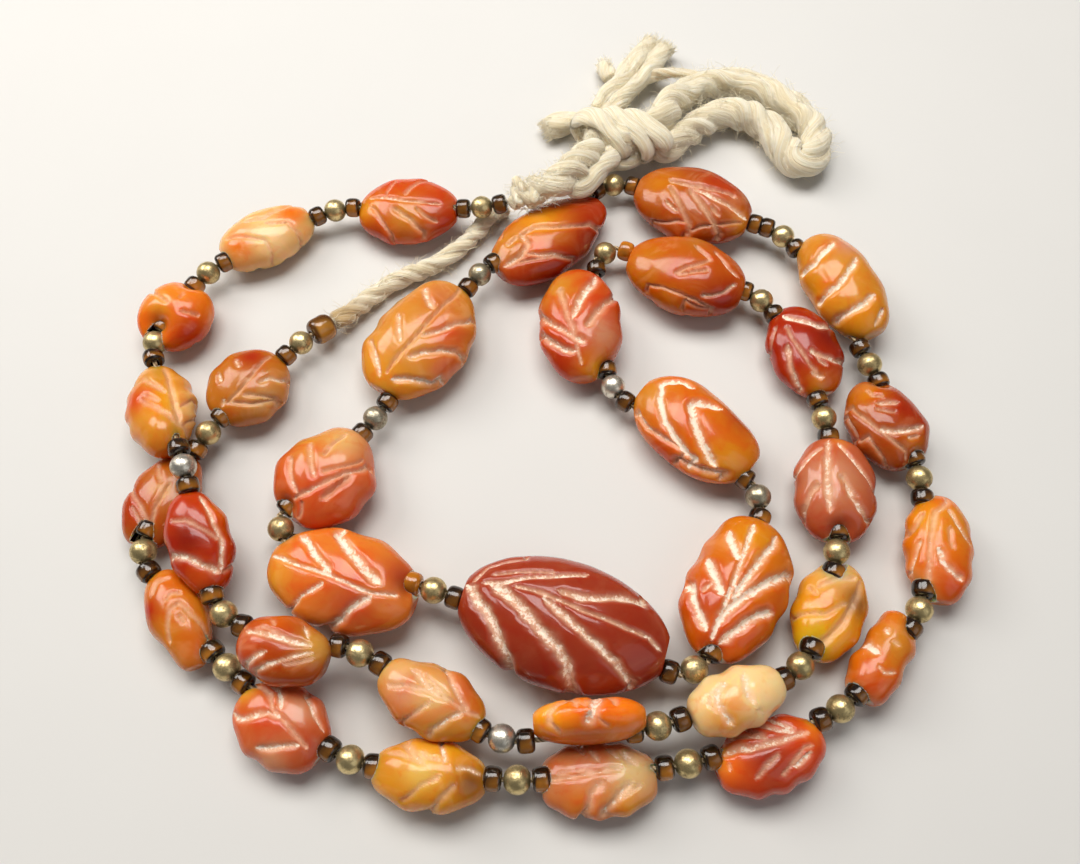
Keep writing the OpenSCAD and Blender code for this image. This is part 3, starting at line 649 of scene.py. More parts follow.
# Grooves: width in mm, how white, then steps along (-1 to 1) and round (degrees, 90 on top)
grooves = {
    1: [(0.5, 0.8, (0.73, 103), (0.07, 86), (-0.53, 82), (-0.73, 82)), (0.5, 0.5, (0.41, 94), (0.24, 137)),
        (0.6, 0.5, (-0.01, 95), (-0.46, 156)), (0.6, 0.3, (0.67, 82), (0.44, 49), (0.25, 21)),
        (0.8, 0.5, (0.23, 75), (-0.14, 54), (-0.42, 22)), (0.6, 0.5, (-0.24, 75), (-0.67, 39))],
    2: [(0.8, 0.3, (0.27, 123), (-0.13, 104), (-0.59, 120), (-0.85, 145)),
        (0.6, 0.3, (0.76, 113), (0.33, 80), (0.06, 60), (0.07, 30), (0.17, -5)),
        (0.6, 0.3, (-0.11, 91), (-0.52, 75), (-0.6, 44), (-0.56, -14))],
    3: [(0.6, 0.3, (-0.26, 150), (-0.04, 91)), (0.5, 0.3, (-0.24, 80), (-0.53, 80)),
        (0.6, 0.3, (-0.01, 67), (-0.16, 34))],
    4: [(0.8, 0.4, (-0.78, 57), (-0.17, 61), (0.36, 57), (0.66, 48), (0.82, -15)),
        (0.6, 0.3, (-0.65, 141), (-0.58, 103), (-0.01, 68)),
        (0.6, 0.3, (-0.12, 114), (0.09, 103), (0.43, 79), (0.66, 55)), (0.5, 0.3, (-0.17, 107), (0.2, 80)),
        (0.6, 0.3, (0.08, 14), (0.34, 48)), (0.6, 0.3, (0.42, -14), (0.68, 37))],
    5: [(0.8, 0.8, (-0.78, 42), (-0.15, 48), (0.13, 40), (0.45, 48), (0.71, 50)), (0.6, 0.3, (0.74, 50), (0.56, -17)),
        (0.6, 0.4, (-0.5, 127), (-0.37, 93), (-0.13, 71), (0.16, 46)),
        (1, 0.8, (0.13, 141), (0.28, 111), (0.51, 89), (0.73, 56))],
    6: [(0.8, 0.8, (-0.79, 77), (-0.11, 77), (0.31, 76), (0.64, 69)), (0.5, 0.4, (-0.5, 64), (0.19, 74)),
        (0.8, 0.8, (-0.56, 149), (-0.37, 117), (-0.16, 103)),
        (0.6, 0.8, (-0.32, 148), (-0.03, 122), (0.34, 103), (0.73, 80)),
        (0.5, 0.5, (0.25, 118), (0.55, 105), (0.79, 89)), (0.6, 0.8, (0.32, 33), (0.53, 57)),
        (0.5, 0.4, (-0.38, 42), (-0.23, 57))],
    7: [(0.6, 0.5, (-0.74, 116), (-0.42, 94), (-0.11, 87), (0.16, 84), (0.33, 80), (0.56, 82), (0.73, 81), (0.9, 69)),
        (1, 0.6, (-0.52, 62), (-0.3, 71), (-0.04, 81), (0.16, 84)), (0.5, 0.3, (-0.29, 60), (0.04, 73), (0.33, 80)),
        (0.8, 0.6, (0, 24), (0.25, 56), (0.44, 67), (0.71, 79)), (0.6, 0.6, (0.08, 96), (-0.04, 121), (-0.23, 159)),
        (0.8, 0.7, (0.63, 85), (0.49, 107), (0.3, 140))],
    8: [(0.8, 0.6, (-0.32, -49), (-0.56, -33), (-0.69, -4), (-0.69, 30), (-0.51, 62)),
        (1.5, 0.8, (0.12, -39), (-0.01, 31)), (0.5, 0.4, (0.14, 27), (0.32, 48)),
        (0.5, 0.4, (-0.29, -46), (-0.06, -15))],
    9: [(1, 0.7, (-0.12, 57), (-0.39, 67), (-0.5, 87), (-0.44, 114), (-0.34, 138)),
        (1.1, 0.7, (0.35, 51), (0.22, 77), (0.2, 95), (0.22, 114)), (0.6, 0.4, (0.23, 122), (0.35, 138)),
        (0.5, 0.3, (-0.54, 66), (-0.64, 80), (-0.58, 103))],
    10: [(0.8, 0.3, (0.73, 117), (0.5, 77), (0.18, 53)), (0.6, 0.3, (0.16, 33), (0.02, 60)),
        (0.6, 0.3, (0.12, 105), (-0.25, 80), (-0.47, 20)),
        (1, 0.3, (0.71, 131), (0.19, 116), (-0.37, 108), (-0.82, 92))],
    11: [(1, 0.7, (0.87, 69), (0.39, 71), (0, 70), (-0.33, 71), (-0.58, 71)),
        (0.6, 0.8, (0.68, 61), (0.55, 44), (0.33, 27), (0.18, 3)),
        (0.8, 0.6, (-0.06, 59), (-0.21, 46), (-0.41, 34), (-0.63, 1)),
        (0.6, 0.8, (0.8, 90), (0.52, 105), (0.27, 121), (-0.03, 150)),
        (0.5, 0.4, (0.12, 87), (-0.1, 100), (-0.27, 115)),
        (0.8, 0.8, (-0.02, 95), (-0.26, 103), (-0.44, 117), (-0.6, 140))],
    12: [(1, 0.9, (0.71, 62), (0.51, 90), (0.3, 115), (0.3, 152)),
        (0.6, 0.5, (0.47, 63), (0.15, 65), (-0.19, 71), (-0.45, 75), (-0.66, 82)),
        (0.8, 0.8, (-0.22, 82), (-0.37, 102), (-0.48, 122), (-0.48, 164)),
        (0.8, 0.7, (-0.6, 71), (-0.72, 84), (-0.75, 92)), (0.6, 0.6, (-0.14, 85), (-0.43, 93), (-0.56, 105)),
        (1, 0.7, (0.07, 54), (-0.24, 46), (-0.51, 37), (-0.78, 13)), (0.5, 0.4, (0.55, 42), (0.33, 30), (0.12, 10))],
    13: [(0.6, 0.3, (0.04, 120), (-0.17, 109), (-0.29, 104)),
        (0.6, 0.5, (0.19, 64), (0.03, 79), (-0.16, 91), (-0.32, 106)),
        (0.6, 0.5, (0.15, 64), (-0.06, 74), (-0.32, 86)),
        (0.6, 0.7, (-0.3, 126), (-0.48, 115), (-0.61, 107), (-0.82, 104)),
        (0.6, 0.7, (-0.34, 44), (-0.52, 48), (-0.68, 59), (-0.82, 86)),
        (0.5, 0.4, (0.54, 29), (0.32, 38), (0.04, 40), (-0.27, 35), (-0.59, 18)),
        (0.5, 0.3, (-0.12, 31), (-0.33, 21), (-0.56, 15))],
    14: [(1, 0.5, (-0.49, 122), (-0.23, 114), (0.08, 108), (0.25, 103), (0.48, 102)),
        (0.6, 0.7, (0.51, 100), (0.65, 99), (0.83, 94)),
        (1.3, 0.8, (-0.77, 48), (-0.39, 82), (-0.08, 95), (0.12, 103)),
        (1.1, 0.6, (-0.45, 17), (-0.2, 51), (0.06, 72), (0.27, 84)),
        (1.1, 0.7, (-0.15, 170), (0.14, 135), (0.29, 117), (0.41, 104), (0.53, 87)),
        (1.1, 0.8, (0.24, 162), (0.43, 142), (0.59, 124), (0.65, 104))],
    15: [(1.1, 1, (-0.36, 54), (-0.6, 52), (-0.73, 63), (-0.76, 74), (-0.61, 103), (-0.36, 121), (-0.13, 130),
         (0.17, 140), (0.3, 141)),
        (1.3, 1, (0.14, 59), (-0.05, 68), (-0.2, 78), (-0.21, 84), (-0.04, 99), (0.21, 114), (0.43, 126), (0.6, 137)),
        (0.8, 0.7, (-0.79, 153), (-0.55, 152), (-0.3, 144), (-0.07, 139), (0.13, 139)),
        (1.3, 0.7, (0.08, 159), (0.32, 157), (0.55, 150), (0.74, 147))],
    16: [(0.8, 0.9, (0.82, 103), (0.51, 98), (0.25, 96), (-0.11, 94), (-0.43, 94), (-0.81, 93)),
        (1.5, 1, (-0.16, 136), (0.03, 119), (0.27, 102)), (1.3, 1, (0.26, 149), (0.51, 132), (0.73, 114)),
        (1.3, 1, (-0.62, 122), (-0.41, 107), (-0.23, 97)), (0.6, 0.7, (0.14, 116), (0.31, 128)),
        (1.1, 0.9, (-0.78, 52), (-0.47, 70), (-0.09, 82), (0.27, 90)),
        (1.3, 0.9, (-0.36, 31), (-0.11, 59), (0.19, 79), (0.46, 95), (0.63, 97)),
        (1.3, 0.9, (0.22, 36), (0.33, 56), (0.58, 71), (0.84, 87))],
    17: [(0.6, 0.7, (0.89, 111), (0.81, 140), (0.68, 145), (0.5, 148)),
        (0.6, 0.8, (0.8, 106), (0.6, 108), (0.41, 117), (0.22, 122), (-0.12, 138)),
        (0.5, 0.6, (0.74, 119), (0.41, 125), (0.17, 129)), (0.6, 0.7, (0.51, 105), (0.32, 104), (0.06, 101),
         (-0.17, 98), (-0.37, 98), (-0.59, 97), (-0.79, 99), (-0.91, 87)),
        (1, 0.8, (0.11, 109), (-0.11, 109), (-0.28, 115), (-0.67, 143)),
        (1.1, 0.8, (0.21, 99), (0.03, 91), (-0.19, 81), (-0.4, 71), (-0.58, 59), (-0.76, 27)),
        (1.5, 0.8, (0.73, 105), (0.57, 96), (0.33, 82), (0.12, 69), (-0.04, 61), (-0.17, 46), (-0.27, 11)),
        (1.5, 0.8, (0.94, 103), (0.8, 79), (0.62, 63), (0.5, 46), (0.4, 31), (0.29, -5))],
    18: [(0.6, 0.9, (0.94, 90), (0.47, 85), (0.11, 85), (-0.22, 82), (-0.5, 79), (-0.81, 88)),
        (1, 0.9, (0.68, 135), (0.36, 103), (0.07, 88)), (1.3, 0.9, (0.22, 140), (0, 121), (-0.3, 104), (-0.55, 94)),
        (0.6, 0.9, (0.09, 76), (0.33, 51), (0.5, 2)), (1.1, 0.9, (-0.51, 76), (-0.32, 54), (0, -5))],
    19: [(0.8, 0.6, (0.56, 144), (0.16, 118), (-0.17, 107), (-0.48, 98), (-0.75, 81)),
        (0.6, 0.5, (-0.66, 96), (-0.96, 120)), (0.8, 0.6, (-0.12, 47), (-0.48, 68), (-0.62, 86)),
        (0.8, 0.6, (0.27, 57), (-0.01, 76), (-0.24, 94)), (0.6, 0.5, (0.79, 82), (0.5, 82), (0.18, 86)),
        (0.5, 0.4, (0.61, 132), (0.26, 113), (-0.09, 95)), (1, 0.2, (0.26, 126), (-0.11, 121), (-0.47, 117))],
    20: [(0.6, 0.2, (-0.8, 89), (-0.57, 91), (-0.2, 97), (0.16, 100), (0.55, 104), (0.96, 119)),
        (0.8, 0.7, (-0.11, 102), (0.1, 115), (0.36, 130), (0.6, 158)),
        (1, 0.7, (-0.46, 104), (-0.28, 116), (-0.12, 132), (-0.01, 149), (0.01, 167)),
        (1, 0.8, (-0.82, 103), (-0.71, 125), (-0.62, 147), (-0.58, 162), (-0.45, 161)),
        (0.8, 0.7, (0.07, 65), (-0.11, 74), (-0.34, 87)),
        (0.8, 0.7, (-0.45, 37), (-0.56, 55), (-0.72, 68), (-0.86, 79)), (1, 0.7, (0.67, 63), (0.48, 83), (0.36, 96))],
    21: [(1.1, 0.6, (-0.4, 69), (-0.44, 92), (-0.64, 101), (-0.82, 99), (-0.91, 96)),
        (0.8, 0.5, (-0.42, 73), (-0.19, 77), (0.03, 95), (0.3, 111), (0.55, 129), (0.72, 188)),
        (0.6, 0.6, (-0.58, 102), (-0.44, 118), (-0.25, 129), (0, 166)),
        (0.5, 0.4, (-0.76, 108), (-0.54, 120), (-0.27, 133), (0, 166)),
        (0.6, 0.5, (-0.27, 19), (-0.47, 14), (-0.65, 40)), (0.6, 0.6, (-0.46, 71), (-0.69, 67))],
    22: [(0.8, 0.5, (-0.47, 84), (-0.1, 86), (0.22, 80), (0.51, 73), (0.66, 72)),
        (0.8, 0.8, (-0.04, 91), (0.16, 90), (0.34, 94), (0.59, 95), (0.78, 101), (0.93, 108)),
        (0.6, 0.7, (-0.41, 120), (-0.28, 126), (-0.14, 130)),
        (0.8, 0.4, (-0.43, 95), (-0.22, 114), (-0.01, 133), (0.12, 147)),
        (1, 0.5, (-0.11, 91), (0.11, 105), (0.3, 118), (0.48, 135), (0.61, 158)), (0.6, 0.4, (0.33, 108), (0.5, 120)),
        (0.5, 0.2, (-0.53, 175), (-0.11, 144), (0.11, 140)),
        (0.6, 0.2, (0.05, 166), (0.29, 143), (0.52, 136), (0.89, 122))],
    23: [(1.1, 0.9, (-0.61, 79), (-0.5, 109), (-0.4, 135), (-0.42, 156)),
        (1.1, 0.9, (-0.2, 63), (0.01, 93), (0.14, 121), (0.16, 153)),
        (1.1, 0.9, (0.48, 72), (0.58, 96), (0.59, 126), (0.56, 162)), (0.8, 0.7, (0.71, 56), (0.86, 77), (0.92, 94))],
    24: [(0.6, 0.5, (-0.46, 152), (-0.12, 135), (0.24, 121), (0.55, 108), (0.78, 94)),
        (0.6, 0.6, (-0.35, 169), (-0.07, 167), (0.14, 168)),
        (0.6, 0.5, (0.24, 142), (0.5, 144), (0.74, 151), (0.87, 174)),
        (1, 0.8, (0.19, 122), (0.36, 101), (0.4, 76), (0.36, 49)), (0.6, 0.6, (0.52, 88), (0.54, 62)),
        (0.5, 0.5, (-0.68, 114), (-0.51, 108), (-0.41, 92)), (0.8, 0.7, (-0.32, 108), (-0.26, 92), (-0.2, 75)),
        (0.5, 0.4, (-0.23, 114), (-0.08, 98), (0, 86)), (0.5, 0.5, (0.73, 94), (0.91, 102))],
    25: [(0.8, 0.5, (-0.96, 61), (-0.55, 107), (-0.01, 116), (0.44, 121), (0.71, 127)),
        (0.6, 0.8, (-0.67, 82), (-0.38, 68), (-0.19, 53), (-0.09, 33)),
        (1, 0.8, (0.11, 104), (0.36, 96), (0.43, 89), (0.55, 69), (0.6, 51)),
        (0.8, 0.3, (-0.55, 130), (-0.32, 145), (-0.18, 164)),
        (0.6, 0.7, (-0.01, 132), (0.19, 145), (0.39, 157), (0.53, 168)),
        (0.6, 0.4, (-0.3, 84), (-0.05, 84), (0.12, 78))],
    26: [(0.8, 0.9, (-0.42, 123), (-0.31, 107)), (0.5, 0.7, (-0.24, 100), (-0.2, 76)),
        (1, 1, (0.04, 145), (0.15, 107)), (0.5, 0.7, (0.37, 102), (0.42, 81), (0.29, 61))],
    27: [(1.0, 0.7, (0.77, 134), (0.36, 111), (-0.15, 104), (-0.7, 105)),
        (0.5, 0.3, (0.71, 138), (0.51, 129), (0.34, 115)), (0.8, 0.6, (0.53, 155), (0.02, 115)),
        (0.6, 0.5, (0.21, 142), (0.01, 118)), (0.9, 0.7, (0, 144), (-0.22, 123), (-0.51, 111)),
        (0.8, 0.7, (-0.25, 144), (-0.49, 116)), (0.6, 0.5, (-0.08, 89), (0.25, 77), (0.47, 63)),
        (0.6, 0.5, (-0.68, 78), (-0.51, 82), (0.05, 55)), (0.8, 0.8, (-0.6, 69), (-0.19, 59)),
        (0.5, 0.4, (0.75, 110), (0.8, 90))],
    28: [(0.5, 0.6, (0.82, 86), (0.46, 88), (0.03, 93), (-0.42, 99)), (0.3, 0.5, (0.69, 94), (0.3, 98), (-0.42, 100)),
        (0.6, 0.5, (0.29, 143), (0.2, 122)), (0.6, 0.6, (0.11, 132), (-0.05, 108)),
        (0.6, 0.6, (-0.19, 138), (-0.41, 112)), (1.3, 0.6, (-0.42, 133), (-0.67, 107)),
        (1, 0.5, (-0.09, 82), (0.12, 62), (0.3, 6)), (1.1, 0.6, (-0.6, 77), (-0.35, 58), (-0.09, 27)),
        (0.5, 0.4, (-0.74, 73), (-0.38, 51))],
    29: [(0.6, 0.4, (0.73, 131), (0.26, 110), (0.06, 102)), (1.1, 0.5, (0.44, 145), (0.27, 117), (0.06, 102)),
        (0.5, 0.4, (0.15, 125), (0.03, 114), (-0.2, 113)), (0.6, 0.8, (-0.14, 149), (-0.24, 123), (-0.29, 108)),
        (0.6, 0.7, (-0.9, 108), (-0.68, 111), (-0.43, 104)), (0.6, 0.4, (-0.24, 90), (0.07, 71), (0.4, 33)),
        (0.8, 0.5, (-0.5, 79), (-0.29, 53), (-0.05, 3))],
    30: [(0.6, 0.5, (0.96, 143), (0.29, 103), (-0.02, 100), (-0.32, 96), (-0.75, 90)),
        (0.8, 0.8, (0.58, 141), (0.14, 109)), (0.5, 0.5, (0.61, 125), (0.4, 116)),
        (0.8, 0.8, (0.89, 37), (0.5, 82), (0.3, 96), (0.01, 100)), (0.8, 0.8, (0.1, 48), (-0.24, 67), (-0.59, 86)),
        (0.6, 0.7, (-0.05, 150), (-0.42, 135), (-0.77, 138))],
    31: [(0.6, 0.3, (0.51, 62), (0.73, 80), (0.72, 122)), (0.6, 0.3, (0.31, 94), (0.4, 104), (0.32, 124)),
        (0.6, 0.4, (-0.47, 67), (-0.14, 80), (0.1, 95), (0.15, 111), (-0.14, 127), (-0.53, 161), (-0.7, 189)),
        (0.5, 0.3, (-0.03, 105), (-0.25, 112))],
    32: [(0.6, 0.4, (-0.59, 108), (-0.17, 99), (0.37, 100)), (0.6, 0.4, (-0.57, 103), (-0.27, 74), (0.01, 28)),
        (0.5, 0.3, (-0.6, 92), (-0.41, 67), (-0.31, 56)), (0.5, 0.3, (-0.46, 129), (-0.3, 134)),
        (0.5, 0.3, (0.62, 53), (0.27, 90))],
    33: [(0.5, 0.4, (0.86, 89), (0.23, 98), (-0.33, 102), (-0.7, 101)),
        (0.6, 0.8, (0.13, 112), (0.4, 122), (0.66, 161)), (0.6, 0.5, (-0.28, 110), (-0.03, 133), (0.16, 157)),
        (0.6, 0.4, (-0.6, 105), (-0.34, 129), (-0.12, 141), (0.09, 158)), (0.6, 0.8, (0.25, 57), (0.13, 77)),
        (0.6, 0.8, (-0.24, 52), (-0.37, 70)), (0.6, 0.7, (-0.61, 90), (-0.78, 98))],
}
# Colour of each stone, and of patches on it: along, round, reach in mm, colour. Most patches are the stone's own
# colour; some are painted light: painted glow where light shines through a thin rim, painted sheen and a painted
# reflection
zones = {
    1: ("redOrange", [(-0.73, 55, 3, "red"), (0.60, 12, 3, "red"), (-0.04, 62, 3.5, "caramel"),
        (0.76, 79, 2.5, "amber")]),
    2: ("peach", [(-0.66, 93, 3, "orange"), (0.60, 74, 3, "orange"), (-0.07, 65, 2.5, "pale")]),
    3: ("orange", [(0.38, 24, 4, "red"), (-0.02, 104, 3, "caramel")]),
    4: ("caramel", [(0.34, 18, 3, "peach"), (0.13, 80, 3, "amber"), (-0.11, 121, 2.5, "redOrange"),
        (0.95, 249, 3, "orange")]),
    5: ("red", [(-0.03, 100, 3, "deepRed"), (0.72, 112, 2.5, "redOrange"), (-0.35, -4, 3, "orange")]),
    6: ("copper", [(-0.59, 104, 2.5, "redOrange"), (-0.30, 45, 2.5, "orange"), (0.74, 58, 2.5, "paleAmber")]),
    7: ("caramel", [(-0.64, 85, 3, "peach"), (-0.37, 134, 3, "orange"), (0.40, 57, 3, "redOrange"),
        (-0.40, 102, 2.5, "rose"), (0.1, 85, 3, "peach")]),
    8: ("orange", [(-0.02, 73, 3, "copper"), (-0.76, 0, 2.5, "amber")]),
    9: ("pale", [(-0.38, 121, 3, "caramel"), (0.37, 87, 2.5, "pale")]),
    # 10: the peach patch on top is a painted reflection, the glow patch a painted glow
    10: ("amber", [(0.64, 74, 3, "peach"), (0.25, 123, 2.5, "brown"), (-0.65, 70, 3, "glow")]),
    # 11: the broad rose patch is a painted sheen
    11: ("red", [(0.86, 94, 1.6, "orange"), (-0.77, 69, 3, "red"), (0, 75, 4.5, "rose")]),
    # 12: the glow patch is a painted glow
    12: ("red", [(-0.87, 60, 2.2, "glow"), (0.06, 129, 3, "deepRed"), (-0.71, 26, 2.5, "redOrange"),
        (-0.91, 153, 2.5, "orange")]),
    13: ("orange", [(0.71, 69, 4, "amber"), (-0.69, 37, 4.5, "red"), (0.27, 7, 2.5, "amber"),
        (-0.02, 130, 3, "caramel")]),
    14: ("redOrange", [(-0.52, 125, 4, "caramel"), (0.34, 62, 3.5, "rose"), (0.76, 145, 4, "red"),
        (0.86, 55, 2.5, "amber")]),
    15: ("orange", [(0.68, 116, 3.5, "amber"), (-0.78, 105, 3, "caramel"), (-0.16, 166, 3, "redOrange"),
        (0.44, 49, 3, "copper")]),
    16: ("orange", [(0.42, 130, 4, "redOrange"), (-0.62, 91, 3.5, "amber"), (0.89, 99, 3, "redOrange")]),
    17: ("maroon", [(0.74, 55, 4, "deepRed"), (-0.73, 91, 4, "deepRed"), (-0.01, 23, 5, "deepRed")]),
    18: ("orange", [(0.76, 58, 2.6, "amber"), (-0.30, 60, 4, "red"), (-0.73, 123, 3, "red"),
        (0.19, 112, 3, "orange")]),
    19: ("redOrange", [(0.63, 82, 4, "peach"), (0.21, 143, 2.5, "redOrange"), (0.3, 50, 4, "caramel")]),
    # 20: the two amber patches near its end are painted glow
    20: ("caramel", [(-0.79, 66, 4, "amber"), (-0.89, 142, 3, "amber"), (0.18, 130, 3.5, "redOrange"),
        (0.59, 94, 3.5, "copper"), (-0.30, 163, 3, "redOrange")]),
    21: ("red", [(-0.07, 74, 5, "amber"), (-0.65, 65, 3.5, "caramel"), (-0.35, 179, 4.5, "deepRed"),
        (-0.35, 106, 2, "orange"), (0.40, 160, 3, "deepRed")]),
    22: ("copper", [(-0.58, 96, 4, "amber"), (0.35, 62, 4, "redOrange"), (0.01, 172, 3, "orange"),
        (0.88, 126, 2.5, "amber")]),
    23: ("caramel", [(0.03, 150, 4, "amber"), (0.81, 129, 4, "amber"), (-0.50, 63, 2.5, "rose")]),
    24: ("copper", [(-0.55, 114, 3, "amber"), (0.00, 69, 3, "red"), (0.56, 140, 3.5, "copper"),
        (0.66, 75, 1.6, "amber")]),
    25: ("orange", [(-0.38, 121, 3, "amber"), (0.70, 71, 3, "redOrange"), (-0.48, 56, 3, "caramel")]),
    26: ("orange", [(0.82, 87, 3, "redOrange"), (-0.27, 91, 3, "caramel")]),
    27: ("red", [(0.78, 119, 2.5, "orange"), (-0.82, 122, 2, "orange"), (0.14, 85, 3, "deepRed")]),
    28: ("clay", [(-0.55, 90, 3.2, "pale"), (0.1, 95, 2.5, "rose"), (0.3, 40, 3, "orange"),
        (-0.5, 30, 2.5, "amber")]),
    29: ("amber", [(0.66, 122, 3, "caramel"), (-0.74, 84, 2.5, "brown"), (0.11, 94, 2.5, "paleAmber")]),
    # 30: the two rose patches are painted sheen
    30: ("redOrange", [(0.95, 114, 1.8, "amber"), (-0.15, 125, 2.6, "rose"), (-0.27, 44, 2.6, "rose"),
        (-0.7, 90, 2.5, "red")]),
    31: ("caramel", [(0.30, 52, 2, "red"), (0.61, 166, 3, "orange"), (-0.69, 140, 3, "orange")]),
    32: ("copper", [(-0.19, 67, 3, "red"), (0.14, 96, 3, "caramel")]),
    33: ("caramel", [(0.48, 73, 2.6, "red"), (-0.05, 142, 3.5, "peach"), (-0.24, 78, 3, "caramel")]),
}
# Where a stone is cut in or, below 0, swells: along, round, reach in mm, depth in mm.
# Some ends are hollowed round their spacers
trims = {
    3: [(0.62, 93, 2.2, 2.6), (-0.9, 95, 1.7, 1.0)], 4: [(0.7, 88, 2.8, -1.3), (-0.76, 90, 2, -0.5)],
    7: [(-0.4, 20, 3, 0.8)], 11: [(-0.87, 92, 1.9, 1.5)], 14: [(0.82, 20, 1.8, 1.0)],
    15: [(0, 12, 5, 1.1), (0.5, 12, 4, 0.9), (-0.1, 175, 5, 0.5)],
    16: [(-0.55, 165, 4.5, 1.4), (-0.1, 165, 4, 1.0), (0.93, 90, 1.8, 1.0)], 18: [(-0.88, 120, 2.0, 1.4)],
    19: [(0.5, 15, 3.5, 0.8), (0.75, 160, 3, 0.9), (-0.9, 66, 2.0, 1.6)],
    20: [(0.5, 18, 4, 1.3), (-0.1, 18, 4, 1.3)],
    24: [(-0.4, 10, 3.5, 0.9), (0.9, 61, 1.8, 1.0), (-0.84, 63, 1.8, 1.2)],
    26: [(0, 5, 4, 0.5), (-0.3, 175, 4, 0.8), (-0.76, 56, 1.8, 1.2)],
    30: [(-0.2, 8, 4, 0.6)], 31: [(-0.3, 10, 4, 0.8), (-0.7, 10, 3, 0.6)],
}
stoneLook = {
    # Mesh: spacing of points above and below, how they crowd at the ends, angles of the upper side, CAD's facets
    "grid": 0.215, "underGrid": 0.55, "crowd": 0.45, "upper": (-10, 190), "cadRings": 13, "cadSides": 14, "sharp": 50,
    # Grooves: angles between which one stops short of the rim, how far others run on, depth, width, softness
    "rimNear": (32, 138), "rimOn": 26, "traceStep": 0.25, "backWide": 0.8,
    "grooveDeep": 0.72, "deepest": 1.25, "leastDeep": 0.4, "byWidth": 0.6, "smallWide": 13, "smallThick": 7.5,
    "halfWide": 0.55, "waver": 0.22, "thinFrom": 0.3, "thinReach": 0.8, "floorWide": 1.15, "valley": 1.45,
    "softReach": 0.8, "softShare": 0.12, "groundWide": 1.2, "jagged": 0.105, "rimDeeper": 0.25, "endShallow": 1.3,
    # Unevenness in mm, and the sizes of its waves and of the grooves' grain
    "uneven": 0.03, "coarse": 2.4, "fine": 0.7, "billow": 4.5,
    # An end that lies short of its glass bead is drawn out towards it; lengths in mm
    "endGap": 0.2, "endStretch": 1.0, "endFrom": 0.4, "sliver": 0.002, "double": 0.0001,
    # Material: scales of the noise, polish, the ground parts, and how light goes through
    "cloudScale": 150.0, "layerScale": 420.0, "grainScale": 1100.0, "dustScale": 2800.0,
    "rough": 0.2, "cutRough": 0.42, "chalkRough": 0.66, "gloss": 0.22, "cutGloss": 0.35, "coat": 0.4,
    "coatRough": 0.06, "frosting": 0.56, "glow": 0.7, "cutGlow": 0.3, "glowReach": 0.003, "clearReach": 0.0045,
    "cutReach": 0.0008, "deeper": (0.72, 0.76, 0.6), "fuller": np.array([1, 0.8, 0.6]),
}
# How much lighter or darker a stone is than its colours
lighter = {
    1: 0.94, 2: 1.1, 3: 1.12, 6: 0.8, 8: 1.2, 9: 1.18, 11: 0.9, 12: 0.78, 13: 0.74, 14: 0.93, 15: 0.93, 16: 0.88,
    17: 1.1, 21: 0.94, 22: 0.75, 24: 0.76, 26: 0.92, 27: 1.25, 28: 0.9, 30: 0.95, 31: 0.95, 32: 0.85, 33: 0.8,
}
# Stones of a fuller red, and how milky some others are
fuller = [6, 12, 13, 22, 24, 31, 33]
milky = {11: 0.1, 17: 0.03, 18: 0.1, 19: 0.08, 20: 0.08, 27: 0.04, 28: 0.1, 30: 0.08}


def stoneFullness(row, t):
    return (1 - np.abs(t) ** row.bulge) ** (1 / row.bulge) * (1 + row.egg * t)


def stoneNotch(row, t, a):
    waves = 1 - np.cos(math.pi * row.lobes * (t / strand["flatAt"] + 1))
    return strand["scallop"] * np.abs(np.cos(a)) ** 3 * waves / 2


def stonePoint(row, t, a):  # in the stone's own frame, its long axis along X
    full = stoneFullness(row, t)
    across = (row.wide / 2 - stoneNotch(row, t, a)) * full * np.cos(a)
    return np.stack([t / strand["flatAt"] * row.long / 2, across, row.thick / 2 * full * np.sin(a)], -1)


def stoneTurn(k, row):
    pitch = math.asin(boreDir(k)[2])
    return np.array(Matrix.Rotation(math.radians(row.heading), 3, "Z") @ Matrix.Rotation(-pitch, 3, "Y")
                    @ Matrix.Rotation(math.radians(row.roll), 3, "X"))


def overRim(steps):  # a groove that ends near the rim runs on round it
    steps = [tuple(step) for step in steps]
    for place in (0, -1):
        t, a = steps[place]
        if not stoneLook["rimNear"][0] <= a <= stoneLook["rimNear"][1]:
            on = (t, a + math.copysign(stoneLook["rimOn"], a - 90))
            steps = [on] + steps if place == 0 else steps + [on]
    return steps


def ripples(points, seed, size, waves=9):  # cheap smooth noise, about -1 to 1
    dice = np.random.default_rng(seed)
    total = np.zeros(len(points))
    for _ in range(waves):
        way = dice.normal(size=3)
        turns = points @ (way / np.linalg.norm(way)) * 2 * math.pi / (size * dice.uniform(0.6, 1.6))
        total += np.sin(turns + dice.uniform(0, 6.3))
    return total / math.sqrt(waves) / 1.4


def traceGroove(row, steps):  # fine points of one groove on the stone, how far along it each is, and its length
    steps = np.array(steps, float)
    along, across = np.diff(steps[:, 0]) * row.long / 2, np.radians(np.diff(steps[:, 1])) * row.wide / 2
    run = np.r_[0, np.cumsum(np.hypot(along, across))]
    fine = np.linspace(0, run[-1], max(6, int(run[-1] / stoneLook["traceStep"])))
    t, a = np.interp(fine, run, steps[:, 0]), np.radians(np.interp(fine, run, steps[:, 1]))
    return stonePoint(row, t, a), fine / run[-1], run[-1]


def backGrooves(row, number):  # the side that faces down carries a plainer leaf
    dice, wide = random.Random(number), stoneLook["backWide"]
    found = [(wide, 0.4, (-0.85, 270), (0.85, 270))]
    pairs = max(2, int(row.lobes))
    for i in range(pairs):
        t = -0.6 + 1.2 * (i + 0.3) / pairs + dice.uniform(-0.05, 0.05)
        for side in (-1, 1):
            steps = [(t + along, 270 + side * turn) for along, turn in ((-0.18, 8), (0.1, 30), (0.22, 52))]
            found.append((wide, 0.5, *steps))
    return found


